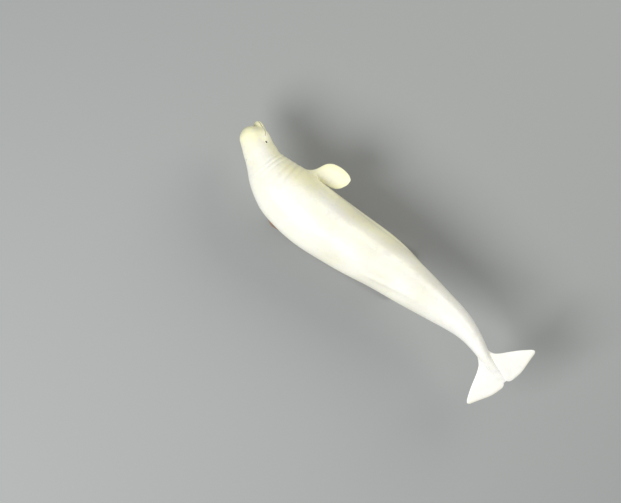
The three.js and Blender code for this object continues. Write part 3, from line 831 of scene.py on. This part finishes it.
def from_creases(p):
    x, y, z = p.T
    along = (x > crease_from) & (x < crease_to)
    return np.where(along & (y > crease_right_of) & (np.abs(z) < crease_within), 0, np.inf)


def from_eye(p):
    return np.hypot(p[:, 0] - finer_eye_x, p[:, 2] - finer_eye_z)


def from_ear(p):
    return np.hypot(p[:, 0] - ear_x, p[:, 2] - ear_z)


def from_belly_marks(p):
    marks = ((navel_x, navel_half_long), *belly_slits)
    along = np.min([np.abs(p[:, 0] - middle) - half_long for middle, half_long in marks], axis=0)
    return np.where(p[:, 2] < 0, np.maximum(along, np.abs(p[:, 1])), np.inf)


def refine(distance, reach):
    """Divides the faces whose middles are nearer than reach to a mark into four."""

    def near(shape):
        return distance(np.array([face.calc_center_median() for face in shape.faces])) < reach

    bpy.ops.object.mode_set(mode="EDIT")
    choose(skin, "FACE", near)
    bpy.ops.mesh.subdivide(number_cuts=1)
    bpy.ops.object.mode_set(mode="OBJECT")


def draw_to_skin():
    """Brings the trunk's and head's points exactly on to the skin."""
    rounds, wholly_own = 3, 0.999
    places = corners_of(skin)
    own = stored("own")
    free = (own < wholly_own) & (places[:, 0] < trunk_end)
    p = places[free]
    for _ in range(rounds):
        out, steep = way_out(p)
        p = p - out * (skin_field(p) / steep)[:, None]
    places[free] = places[free] + (p - places[free]) * (1 - own[free, None])
    move_corners(skin, places)


for distance, reaches in (
    (from_mouth, (26, 13)),
    (from_blowhole, (24, 11)),
    (from_creases, (1,)),
    (from_eye, (46,)),
    (from_ear, (30, 19, 11)),
    (from_belly_marks, (34, 15)),
):
    for reach in reaches:
        refine(distance, reach)
draw_to_skin()

lip_apart, lip_reach, lip_high = 10, 7.5, 4.2
lip_at_corner, lip_full_after = 0.25, 50
groove_half_width, groove_deep, groove_full_after = 2.6, 10, 14

# Each hollow with a rim: how far out the rim's top lies, its half width and height, and the
# half width and depth of the hollow
blowhole = (0, (12, 4.5), (3.2, 13))
ear_hole = (7, (4, 0.9), (3.4, 3.4))
navel = (1.9, (0.6, 1.8), (0.9, 5.5))
slit = (10, (7, 2.6), (3.6, 6.5))


def rimmed(off, rim_out, rim, hole):
    return bump(off - rim_out, *rim) - bump(off, *hole)


def mouth_and_blowhole(p):
    raised = np.zeros(len(p))
    face = p[:, 0] < face_end
    off, from_end = off_mouth(p[face])
    full = lip_at_corner + (1 - lip_at_corner) * ease(from_end, 0, lip_full_after)
    lips = lip_high * (bump(off - lip_apart, lip_reach) + bump(off + lip_apart, lip_reach))
    groove = bump(off, groove_half_width, groove_deep)
    raised[face] += full * lips - ease(from_end, 0, groove_full_after) * groove
    top = (p[:, 2] > head_top) & (np.abs(p[:, 0] - blowhole_x) < blowhole_reach)
    behind, along = off_blowhole(p[top])
    raised[top] += (1 - ease(along, *blowhole_ends)) * rimmed(behind, *blowhole)
    return raised


eye_region = 150
eye_oval = (27, 18)  # half length and half height, by which places round the eye are measured
eye_swell = (2, 2.6)
eye_wrinkles = (  # how far out, middle and reach round the eye, depth
    (1.42, 84, 46, 1.5),
    (1.4, -82, 50, 1.6),
    (1.85, -66, 44, 1.2),
    (2.3, -52, 34, 0.8),
)
wrinkle_half_width, wrinkle_wander, wrinkle_waves, wrinkle_shift = 0.15, 0.07, 3, 40
crows_feet = ((26, 1.1), (2, 1.3), (-24, 1.1))  # turn round the eye, and depth
crows_foot_half_width, crows_foot_bend, crows_foot_middle = 7, 5, 2
crows_foot_starts, crows_foot_ends = (1.2, 1.7), (1.9, 3.2)


def eyes_and_ears(p):
    """A fold over each eye, wrinkles under it, crow's feet behind it, and the ear's pin-hole."""
    along, up = p[:, 0] - eye_x, p[:, 2] - eye_z
    near = np.hypot(along, up) < eye_region
    along, up = along[near] / eye_oval[0], up[near] / eye_oval[1]
    turn = np.degrees(np.arctan2(up, along))  # 0 behind the eye, 90 over it
    round_eye = np.hypot(along, up)
    marks = bump(round_eye, *eye_swell)
    for out, middle, reach, deep in eye_wrinkles:
        wave = np.sin(np.radians(wrinkle_waves * turn + wrinkle_shift * out))
        wavy = out + wrinkle_wander * wave
        marks -= deep * bump(turn - middle, reach) * bump(round_eye - wavy, wrinkle_half_width)
    length = ease(round_eye, *crows_foot_starts) * (1 - ease(round_eye, *crows_foot_ends))
    for lean, deep in crows_feet:
        bent = lean + crows_foot_bend * (round_eye - crows_foot_middle)
        off = (turn - bent) * round_eye / crows_foot_middle
        marks -= deep * bump(off, crows_foot_half_width) * length
    raised = np.zeros(len(p))
    raised[near] = marks
    return raised + rimmed(from_ear(p), *ear_hole)


neck_rolls_from, neck_rolls_to = 600, 900
neck_roll_high, neck_roll_apart, neck_roll_first, neck_roll_lean = 3.4, 82, 655, 0.2
neck_roll_turn, neck_roll_reach = -8, 42  # degrees round the neck
root_half_long, root_half_high = 95, 52
chest_per_degree = 5.8  # length of a degree round the chest
flipper_folds = ((1.38, 3.6), (1.75, 2.2))  # distance from the root's middle, and depth
flipper_fold_half_width = 0.11
flipper_folds_rise = (flipper_root_x - 10, flipper_root_x + 80)
swell_high, swell_long, swell_wander, swell_slant = 1.1, 97, 2.1, 260
swell_from, swell_to = 650, 3500


def folds(p):
    """Soft rolls of blubber on the inside of the neck's bend, folds behind the flippers, and
    faint swells all along the trunk."""
    x, y, z = p.T
    turn = np.degrees(np.arctan2(z - section(x)[0], np.abs(y)))
    rolls = np.cos(2 * np.pi * (x - neck_roll_first - neck_roll_lean * z) / neck_roll_apart)
    rolls = rolls * on_the_right(y) * fading(x, neck_rolls_from, neck_rolls_to)
    raised = rolls * bump(turn - neck_roll_turn, neck_roll_reach, neck_roll_high)
    up = (turn - flipper_root_turn) * chest_per_degree / root_half_high
    round_root = np.hypot((x - flipper_root_x) / root_half_long, up)
    behind = ease(x, *flipper_folds_rise)
    for at, deep in flipper_folds:
        raised -= deep * behind * bump(round_root - at, flipper_fold_half_width)
    wander = swell_wander * np.sin(np.radians(2 * turn))
    swell = np.sin(x / swell_long + wander + y / swell_slant) - 1
    return raised + swell_high * swell * fading(x, swell_from, swell_to)


belly_reach = 60
navel_oval = (17, 9)  # half length and half width
slit_fades = (-14, 6)  # from before its end to behind it


def belly_marks(p):
    below = (p[:, 2] < 0) & (np.abs(p[:, 1]) < belly_reach)
    raised = np.zeros(len(p))
    x, off = p[below, 0], np.abs(p[below, 1])
    round_navel = np.hypot((x - navel_x) / navel_oval[0], off / navel_oval[1])
    marks = rimmed(round_navel, *navel)
    for middle, half_long in belly_slits:
        marks += (1 - ease(np.abs(x - middle) - half_long, *slit_fades)) * rimmed(off, *slit)
    raised[below] = marks
    return raised


# From this depth on a hollow gets the darkest painted shade, and the folds count with this share of
# their depth.
darkest_shade_depth, folds_in_shade = 5, 0.4

places = corners_of(skin)
own = stored("own")
out, _ = way_out(places)
relief = mouth_and_blowhole(places) + eyes_and_ears(places) + belly_marks(places)
places += out * ((relief + folds(places)) * (1 - own))[:, None]

# Painted shade: a mask that is 0 on the open skin and rises to 1 in the deepest grooves and hollows,
# to darken the colour there.
hollow_shade = -(relief + folds(places) * folds_in_shade) / darkest_shade_depth
hollow_shade = np.clip(hollow_shade, 0, 1) * (1 - own)
move_corners(skin, places)


flipper_near, flipper_edge_near = 70, 1.3  # up from its axis, and across its half width


def in_flipper(p, flank):
    """How far points lie out along a flipper, ahead of its axis and up from it."""
    root, *ways = flipper_frame(flank)
    off = lay(p) - root
    return [off @ way for way in ways]


def beside_flipper(p, flank):
    """How far out along a flipper points are, and how near to its edge, 1 at the edge."""
    out, across, up = in_flipper(p, flank)
    ahead, behind, _ = np.moveaxis(flipper_at(out), -1, 0)
    to_edge = np.abs(across - (ahead - behind) / 2) / ((ahead + behind) / 2)
    on_it = (p[:, 1] * flank > 0) & (np.abs(up) < flipper_near) & (to_edge < flipper_edge_near)
    return np.where(on_it, out, 0), to_edge


root_softness, root_rounds = 0.5, 10
root_middle = 10
root_reach = (95, 105, 62)  # along the flipper, across it and up from it
at_root = np.zeros(len(places), bool)
for flank in (1, -1):
    out, across, up = np.abs(in_flipper(places, flank) - np.array([[root_middle], [0], [0]]))
    at_root |= (out < root_reach[0]) & (across < root_reach[1]) & (up < root_reach[2])
pick(skin)
bpy.ops.object.mode_set(mode="EDIT")
choose(skin, "VERT", lambda shape: at_root)
bpy.ops.mesh.vertices_smooth(factor=root_softness, repeat=root_rounds)
bpy.ops.object.mode_set(mode="OBJECT")
places = corners_of(skin)

# How cream the skin is: most on the face, on the flippers and round their roots, less down
# the sides, and least towards the tail. The rims of the flippers and flukes are greyer.

side_cream, side_rise, side_lost, side_fades = 0.7, (-0.55, 0.35), 0.85, (2000, 3300)
trunk_cream, face_cream, face_long, face_power = 0.3, 0.7, 420, 0.8
tail_lost, tail_fades = 0.9, (2600, 3400)
root_cream, root_half_wide = 0.95, 330
root_cream_x, root_cream_turn = (880, 430), (20, 52)  # middle and reach
blade_cream, blade_edge_cream, blade_from = 0.62, 0.38, (40, 130)
rim_share, flipper_rim, rim_cream, fluke_rim_wide = (0.86, 1), 0.6, 0.3, (2, 30)

from_beak, aside = places[:, 0], np.abs(places[:, 1])
middle, high = section(from_beak)
height = (places[:, 2] - middle) / high
side = side_cream * ease(-height, *side_rise) * (1 - side_lost * ease(from_beak, *side_fades))
face = trunk_cream + face_cream * (1 - ease(from_beak, 0, face_long)) ** face_power
cream = np.maximum(side, face) * (1 - tail_lost * ease(from_beak, *tail_fades))
down_the_side = np.degrees(np.arctan2(-height, aside / root_half_wide))
along, down = root_cream_x, root_cream_turn
by_the_flippers = np.hypot((from_beak - along[0]) / along[1], (down_the_side - down[0]) / down[1])
cream = np.maximum(cream, bump(by_the_flippers, 1, root_cream))
rim = np.zeros(len(places))
for flank in (1, -1):
    out, to_edge = beside_flipper(places, flank)
    on_flipper = ease(out, *blade_from)
    on_blade = blade_cream + blade_edge_cream * ease(to_edge, 0.3, 1)
    cream = cream * (1 - on_flipper) + on_blade * on_flipper
    rim = np.maximum(rim, on_flipper * ease(to_edge, *rim_share) * flipper_rim)
to_trailing_edge = fluke_at(np.clip(aside, 0, fluke_half_span))[:, 1] - from_beak
on_fluke = ease(aside, 50, 110) * ease(from_beak, 3600, 3700)
rim = np.maximum(rim, on_fluke * (1 - ease(to_trailing_edge, *fluke_rim_wide)))
cream = np.maximum(cream, rim_cream * rim)

for name, values in (("cream", cream), ("hollow_shade", hollow_shade), ("rim", rim)):
    remember(skin, name, values)
remember(skin, "straight", places * metres)
move_corners(skin, lay(places) * metres)
for name in ("ring", "spoke", "turn", "own"):
    skin.data.attributes.remove(skin.data.attributes[name])
pick(skin)
bpy.ops.object.shade_smooth()

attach(skin, "root")
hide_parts("head", "neck", "chest", "abdomen", "loin", "tail_stock")
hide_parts("right_flipper", "left_flipper", "right_fluke", "left_fluke")

# The skin's finish: white and rubbery, cream on the face, flippers and lower sides, with faint
# clouds, a few healed scratches and fine wrinkles that run round the body.


class Tone:
    """A value that changes over a surface. Sums of tones and numbers add Math nodes."""

    def __init__(self, finish, socket):
        self.finish = finish
        self.socket = socket

    def sum(self, operation, a, b):
        return self.finish.node("ShaderNodeMath", {"operation": operation}, {0: a, 1: b})

    def __add__(self, other):
        return self.sum("ADD", self, other)

    def __sub__(self, other):
        return self.sum("SUBTRACT", self, other)

    def __rsub__(self, other):
        return self.sum("SUBTRACT", other, self)

    def __mul__(self, other):
        return self.sum("MULTIPLY", self, other)

    __radd__ = __add__
    __rmul__ = __mul__


class Finish:
    """A material: its nodes give tones, and its shader takes tones and plain values."""

    def __init__(self, name):
        self.material = bpy.data.materials.new(name)
        self.material.use_nodes = True
        self.tree = self.material.node_tree
        self.shader = self.tree.nodes["Principled BSDF"]

    def feed(self, socket, value):
        if isinstance(value, Tone):
            self.tree.links.new(value.socket, socket)
        elif socket.type == "RGBA":
            socket.default_value = (*value, 1)
        else:
            socket.default_value = value

    def node(self, kind, settings, sockets, output=0):
        made = self.tree.nodes.new(kind)
        for name, setting in settings.items():
            setattr(made, name, setting)
        for name, value in sockets.items():
            self.feed(made.inputs[name], value)
        return Tone(self, made.outputs[output])

    def attribute(self, name, output=2):
        return self.node("ShaderNodeAttribute", {"attribute_name": name}, {}, output)

    def scaled(self, place, scale, turn=(0, 0, 0)):
        sockets = {"Vector": place, "Scale": scale, "Rotation": [math.radians(a) for a in turn]}
        return self.node("ShaderNodeMapping", {}, sockets)

    def noise(self, place, scale, detail=2, distortion=0):
        sockets = {"Vector": place, "Scale": scale, "Detail": detail, "Distortion": distortion}
        return self.node("ShaderNodeTexNoise", {}, sockets)

    def rising(self, tone, start, end):
        """0 where the tone is below start, 1 above end, and smooth between them."""
        sockets = {"Value": tone, "From Min": start, "From Max": end}
        return self.node("ShaderNodeMapRange", {"interpolation_type": "SMOOTHSTEP"}, sockets)

    def colour(self, share, plain, other):
        """A mix of two colours, each one a tone or three numbers."""
        mix = {"data_type": "RGBA"}
        return self.node("ShaderNodeMix", mix, {0: share, 6: plain, 7: other}, output=2)

    def relief(self, height, distance, strength=1.0):
        sockets = {"Height": height, "Distance": distance, "Strength": strength}
        return self.node("ShaderNodeBump", {}, sockets)

    def surface(self, values):
        for name, value in values.items():
            self.feed(self.shader.inputs[name], value)


skin_white = (0.93, 0.92, 0.86)
skin_cream = (0.945, 0.92, 0.58)
cloud_grey = (0.76, 0.76, 0.70)
scratch_grey = (0.62, 0.59, 0.52)
# The next colour is painted shade, mixed into the grooves and hollows of the skin.
painted_groove_shade = (0.40, 0.34, 0.25)
rim_grey = (0.62, 0.59, 0.50)

skin_finish = Finish("white_whale_skin")
on_whale = skin_finish.attribute("straight", output=1)
large_clouds = skin_finish.noise(on_whale, 5, detail=3)
clouds = skin_finish.rising(skin_finish.noise(on_whale, 14, detail=5, distortion=0.6), 0.46, 0.72)
creaminess = skin_finish.attribute("cream") + (large_clouds - 0.5) * 0.6
creaminess = skin_finish.rising(creaminess, -0.05, 1.05)
colour = skin_finish.colour(creaminess, skin_white, skin_cream)
colour = skin_finish.colour(clouds * 0.34, colour, cloud_grey)


def scratches(turn, long, thin):
    """Thin healed scratches: cells drawn out to needles, here and there in patches."""
    drawn_out = skin_finish.scaled(on_whale, (1 / long, 1 / thin, 1 / thin), turn)
    wavering = skin_finish.node("ShaderNodeVectorMath", {"operation": "ADD"}, {
        0: drawn_out, 1: skin_finish.scaled(skin_finish.noise(on_whale, 2.3, detail=0), (0, 9, 9))})
    needles = skin_finish.node("ShaderNodeTexVoronoi", {}, {"Vector": wavering, "Scale": 1})
    patches = skin_finish.noise(skin_finish.scaled(on_whale, (1, 1, 1), turn), 3.3, detail=1)
    return (1 - skin_finish.rising(needles, 0.05, 0.13)) * skin_finish.rising(patches, 0.5, 0.62)


marks = scratches((0, 3, 4), 0.7, 0.012) + scratches((0, -5, -7), 0.45, 0.010)
marks = marks + scratches((0, 7, -3), 0.35, 0.014)
back_from_beak = skin_finish.node("ShaderNodeSeparateXYZ", {}, {"Vector": on_whale})
marks = marks * skin_finish.rising(back_from_beak, 0.55, 0.95)
colour = skin_finish.colour(marks * 0.4, colour, scratch_grey)
colour = skin_finish.colour(skin_finish.attribute("rim") * 0.55, colour, rim_grey)
# Painted shade: the colour is mixed towards brown in the grooves and hollows, the deeper the darker.
colour = skin_finish.colour(skin_finish.attribute("hollow_shade") * 0.75, colour, painted_groove_shade)

round_body = skin_finish.scaled(on_whale, (105, 26, 26))
wrinkles = skin_finish.noise(round_body, 1, detail=3, distortion=0.8)
pores = skin_finish.noise(on_whale, 520, detail=2)
lumps = skin_finish.noise(on_whale, 22, detail=2)
grain = wrinkles * 0.4 + pores * 0.2 + lumps * 1.3 - marks * 0.35
skin_finish.surface({
    "Base Color": colour,
    "Roughness": 0.36 + clouds * 0.1 + pores * 0.06,
    "Normal": skin_finish.relief(grain, distance=0.0011),
    "Subsurface Weight": 0.12,
    "Subsurface Radius": (1.0, 0.75, 0.5),
    "Subsurface Scale": 0.012,
    "Coat Weight": 0.25,
    "Coat Roughness": 0.18,
})
skin.data.materials.append(skin_finish.material)

# The eyes are small and dark. Each is a clear ball that bulges in front, over a brown iris
# and a pupil that is a flat oval. It sits behind the lids, in its socket.

eye_facets, eye_rings = 64, 40
cornea_out, cornea_slope = 1.1, (8, 42)  # how far it bulges, and where it slopes, in degrees
tailward, right, up = axes_at(float(eye_x))
for side, flank in (("right", 1), ("left", -1)):
    low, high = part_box(side + "_eye")
    ball_at = np.array((low + high) / 2)
    ball_radius = (high - low).y / 2
    bpy.ops.mesh.primitive_uv_sphere_add(segments=eye_facets, ring_count=eye_rings, radius=1)
    ball = just_added(side + "_eyeball")
    way = corners_of(ball)
    bulge = 1 - ease(np.degrees(np.arccos(np.clip(way[:, 2], -1, 1))), *cornea_slope)
    radius = ball_radius + cornea_out * metres * bulge
    sideways = way[:, :1] * tailward * flank + way[:, 1:2] * up + way[:, 2:] * right * flank
    move_corners(ball, ball_at + sideways * radius[:, None])
    remember(ball, "gaze", way)
    turn_faces_out()
    bpy.ops.object.shade_smooth()
    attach(ball, "root")
    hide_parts(side + "_eye")

iris_dark, iris_light, iris_rim = (0.030, 0.015, 0.008), (0.085, 0.042, 0.02), (0.012, 0.009, 0.008)
eye_white, pupil_black = (0.32, 0.24, 0.19), (0.004, 0.004, 0.005)
eye_finish = Finish("dark_eye")
gaze = eye_finish.attribute("gaze", output=1)


def off_gaze(stretch):
    """Distance from the middle of the pupil, in balls' radii, stretched to an oval."""
    flat = eye_finish.scaled(gaze, stretch)
    return eye_finish.node("ShaderNodeVectorMath", {"operation": "LENGTH"}, {0: flat}, output=1)


spokes = eye_finish.node("ShaderNodeVectorMath", {"operation": "NORMALIZE"},
                         {0: eye_finish.scaled(gaze, (1, 1, 0))})
fibres = eye_finish.noise(spokes, 9, detail=4)
from_middle = off_gaze((1, 1, 0))
iris = eye_finish.colour(eye_finish.rising(fibres, 0.35, 0.7), iris_dark, iris_light)
for start, end, beyond in ((0.42, 0.62, iris_rim), (0.72, 0.84, eye_white)):
    iris = eye_finish.colour(eye_finish.rising(from_middle, start, end), iris, beyond)
pupil = 1 - eye_finish.rising(off_gaze((2.6, 5.2, 0)), 0.85, 1)
eye_finish.surface({
    "Base Color": eye_finish.colour(pupil, iris, pupil_black),
    "Roughness": 0.12 + fibres * 0.1,
    "Coat Weight": 1.0,
    "Coat Roughness": 0.02,
    "IOR": 1.38,
})
for side in ("right", "left"):
    bpy.data.objects[side + "_eyeball"].data.materials.append(eye_finish.material)

# The stand's board is a solid oak slab with round corners and eased edges, a shallow groove
# cut round its top, stained and varnished satin. It lies flat under the whale's trunk.

board_wide, board_long, board_thick = 0.5598, 1.6398, 0.045
board_corner, board_ease = 0.09, 0.006
groove_in, groove_wide, groove_into = 0.026, 0.006, 0.004
board_turn = math.radians(course_of_trunk)

bpy.ops.mesh.primitive_cube_add(size=1, location=(0, 0, 0))
board = just_added("oak_board")
bpy.ops.object.mode_set(mode="EDIT")
bpy.ops.transform.resize(value=(board_wide, board_long, board_thick))


def ends_of_edges(shape):
    return [[point.co for point in edge.verts] for edge in shape.edges]


def corner_edges(shape):
    return [abs((end - start).normalized().z) > 0.9 for start, end in ends_of_edges(shape)]


def rim_edges(shape):
    nearly_outside = board_thick / 2 - 0.001
    return [abs((start + end).z / 2) > nearly_outside for start, end in ends_of_edges(shape)]


def top_face(shape):
    shape.normal_update()
    return [face.normal.z > 0.9999 for face in shape.faces]


choose(board, "EDGE", corner_edges)
bpy.ops.mesh.bevel(offset=board_corner, segments=14, affect="EDGES")
choose(board, "EDGE", rim_edges)
bpy.ops.mesh.bevel(offset=board_ease, segments=3, affect="EDGES")
choose(board, "FACE", top_face)
bpy.ops.mesh.inset(thickness=groove_in)
bpy.ops.mesh.inset(thickness=groove_wide / 2, depth=-groove_into)
bpy.ops.mesh.inset(thickness=groove_wide / 2, depth=groove_into)
bpy.ops.object.mode_set(mode="OBJECT")
bpy.ops.object.shade_smooth_by_angle(angle=math.radians(32))
board_at = Vector((*np.array((base_low + base_high) / 2)[:2], board_thick / 2))
board.data.transform(Matrix.Translation(board_at) @ Matrix.Rotation(board_turn, 4, "Z"))
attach(board, "root")
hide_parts("stand_base")

oak = Finish("stained_oak")
objects_place = oak.node("ShaderNodeTexCoord", {}, {}, output=3)
along_board = oak.node("ShaderNodeMapping", {"vector_type": "TEXTURE"},
                       {"Vector": objects_place, "Location": board_at,
                        "Rotation": (0, 0, board_turn)})
drift = oak.noise(oak.scaled(along_board, (3, 0.5, 3)), 1, detail=2)
rings_at = oak.scaled(along_board, (24, 0.9, 9), (0, 12, 0))
growth = oak.noise(rings_at, 1, detail=3, distortion=1.1)
flecks = oak.rising(oak.noise(oak.scaled(along_board, (900, 22, 500)), 1, detail=2), 0.56, 0.72)
figure = oak.rising(growth + (drift - 0.5) * 0.5, 0.3, 0.72)
stained = oak.colour(figure, (0.115, 0.055, 0.024), (0.26, 0.14, 0.065))
stained = oak.colour(flecks * 0.6, stained, (0.05, 0.024, 0.012))
oak.surface({
    "Base Color": stained,
    "Roughness": 0.34 + flecks * 0.2 + (1 - figure) * 0.08,
    "Normal": oak.relief(figure * 0.5 - flecks, distance=0.0003),
    "Coat Weight": 0.35,
    "Coat Roughness": 0.22,
})
board.data.materials.append(oak.material)

# Two rods of brushed stainless steel tube hold the whale. Each is welded into a turned foot,
# screwed to the board with four screws, and ends in a rosette that is bent to the belly.

bar_radius, bar_from, bar_into_belly = 0.030, 0.03, 0.030
bar_places = {"front": 1440, "rear": 2320}
foot_line = [  # radius and height over the board, up the turned foot to the bar
    (0.058, 0.0),
    (0.058, 0.0045),
    (0.0568, 0.0057),
    (0.0425, 0.0062),
    (0.0400, 0.0095),
    (0.0385, 0.0150),
    (0.0378, 0.0220),
    (0.0372, 0.0250),
    (0.0360, 0.0260),
    (0.0312, 0.0260),
    (0.0300, 0.0248),
]
flange_top = foot_line[2][1]
rosette_radius, rosette_thick, rosette_gap, rosette_eased = 0.050, 0.004, 0.0002, 0.0012
rosette_rings = 6
screw_circle, screw_radius, screw_high, screw_sunk = 0.050, 0.0048, 0.0022, 0.0001
screw_line = ((1, 0), (1, 0.6), (0.8, 1), (0.5, 1), (0.45, 0.3))  # shares of radius and height
joint_gap = 0.0003
turned_facets = 64

steel = Finish("brushed_steel")
steel_place = steel.node("ShaderNodeTexCoord", {}, {}, output=3)
brushing = steel.noise(steel.scaled(steel_place, (700, 700, 16)), 1, detail=3)
smudges = steel.noise(steel_place, 24, detail=4)
steel.surface({
    "Base Color": steel.colour(brushing, (0.50, 0.50, 0.51), (0.66, 0.66, 0.65)),
    "Metallic": 1.0,
    "Roughness": 0.2 + brushing * 0.16 + smudges * 0.1,
    "Normal": steel.relief(brushing, distance=0.00008),
})


def turned(name, profile, at):
    """Turns a piece by growing a disc up a profile of radius and height."""
    bpy.ops.mesh.primitive_circle_add(vertices=turned_facets, radius=profile[0][0],
                                      fill_type="NGON", location=(0, 0, 0))
    piece = just_added(name)
    edit_all()
    bpy.ops.mesh.extrude_region_move()
    for (before, low), (radius, height) in zip(profile, profile[1:]):
        bpy.ops.transform.resize(value=(radius / before, radius / before, 1))
        bpy.ops.transform.translate(value=(0, 0, height - low))
        if (radius, height) != profile[-1]:
            bpy.ops.mesh.extrude_region_move()
    turn_faces_out()
    bpy.ops.object.shade_smooth_by_angle(angle=math.radians(30))
    piece.data.transform(Matrix.Translation(at))
    piece.data.materials.append(steel.material)
    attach(piece, "root")
    return piece


def belly_over(x, y):
    """The point of the skin straight over a place on the floor."""
    _, at, _, _ = skin.ray_cast(Vector((x, y, board_thick + 0.01)), Vector((0, 0, 1)))
    return at


bpy.context.view_layer.update()
for end, place in bar_places.items():
    foot_at = Vector((*(lay(np.array([place, 0.0, 0.0])) * metres)[:2], board_thick + joint_gap))
    top = belly_over(foot_at.x, foot_at.y).z - foot_at.z + bar_into_belly
    bar = turned(end + "_bar", [*foot_line, (bar_radius, bar_from), (bar_radius, top)], foot_at)
    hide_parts("stand_rod_" + end)

    bpy.ops.mesh.primitive_circle_add(vertices=turned_facets, radius=bar_radius, location=(0, 0, 0))
    rosette = just_added(end + "_rosette")
    edit_all()
    steps = np.linspace(bar_radius + rosette_gap, rosette_radius, rosette_rings)
    bpy.ops.transform.resize(value=(steps[0] / bar_radius, steps[0] / bar_radius, 1))
    for inner, outer in zip(steps, steps[1:]):
        bpy.ops.mesh.extrude_edges_move()
        bpy.ops.transform.resize(value=(outer / inner, outer / inner, 1))
    bpy.ops.object.mode_set(mode="OBJECT")
    for point in rosette.data.vertices:
        point.co = belly_over(foot_at.x + point.co.x, foot_at.y + point.co.y)
    turn_faces_out()
    if sum(face.normal.z for face in rosette.data.polygons) > 0:
        rosette.data.flip_normals()
    plate = rosette.modifiers.new("plate", "SOLIDIFY")
    plate.thickness, plate.offset = rosette_thick, 1
    eased = rosette.modifiers.new("eased", "BEVEL")
    eased.width, eased.segments, eased.limit_method = rosette_eased, 2, "ANGLE"
    for modifier in (plate.name, eased.name):
        bpy.ops.object.modifier_apply(modifier=modifier)
    bpy.ops.object.shade_smooth_by_angle(angle=math.radians(35))
    rosette.data.materials.append(steel.material)
    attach(rosette, "root")

    for number in range(4):
        turn = math.radians(45 + 90 * number) + board_turn
        screw_at = foot_at + Vector((math.cos(turn), math.sin(turn), 0)) * screw_circle
        screw_at.z += flange_top - screw_sunk
        head = [(screw_radius * wide, screw_high * high) for wide, high in screw_line]
        turned(f"{end}_screw_{number + 1}", head, screw_at)

# Floor, light and camera: a plain pale studio, seen from straight above as in the photograph.

bpy.ops.mesh.primitive_plane_add(size=60, location=(0, 0, -0.0005))
floor = just_added("floor")
floor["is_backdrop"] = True
floor_paint = Finish("floor_paint")
floor_paint.surface({"Base Color": (0.335, 0.345, 0.34), "Roughness": 0.9})
floor.data.materials.append(floor_paint.material)

photo_turn = math.radians(-136.06)
photo_right = Vector((math.cos(photo_turn), -math.sin(photo_turn), 0))
photo_up = Vector((math.sin(photo_turn), math.cos(photo_turn), 0))
photo_off_base = Vector((0.3423, -0.1486, 0.76))  # from the middle of the stand's base
photo_middle = Vector((*base_middle[:2] * metres, 0)) + photo_off_base
photo_width = 6.593


def softbox(name, where, size, power, colour=(1, 1, 1)):
    lamp = bpy.data.lights.new(name, "AREA")
    lamp.shape = "DISK"
    lamp.size = size
    lamp.energy = power
    lamp.color = colour
    obj = bpy.data.objects.new(name, lamp)
    bpy.context.scene.collection.objects.link(obj)
    obj.location = where
    obj.rotation_euler = (photo_middle - Vector(where)).to_track_quat("-Z", "Y").to_euler()


softbox("key_light", photo_middle - photo_right * 8 - photo_up * 5 + Vector((0, 0, 12)), 9, 2080)
softbox("fill_light", photo_middle + photo_right * 9 + photo_up * 7 + Vector((0, 0, 9)), 9, 830,
        (1, 0.97, 0.9))

world = bpy.data.worlds.new("studio")
bpy.context.scene.world = world
world.use_nodes = True
world.node_tree.nodes["Background"].inputs["Color"].default_value = (0.95, 0.97, 1.0, 1)
world.node_tree.nodes["Background"].inputs["Strength"].default_value = 0.37

lens = bpy.data.cameras.new("camera")
lens.lens = 100
lens.sensor_width = 36
lens.clip_end = 100
camera = bpy.data.objects.new("camera", lens)
bpy.context.scene.collection.objects.link(camera)
away = photo_width / (lens.sensor_width / lens.lens)
camera.location = photo_middle + Vector((0, 0, away))
camera.rotation_euler = (0, 0, math.atan2(photo_right.y, photo_right.x))
bpy.context.scene.camera = camera
bpy.context.scene.view_settings.view_transform = "Standard"

low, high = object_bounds()
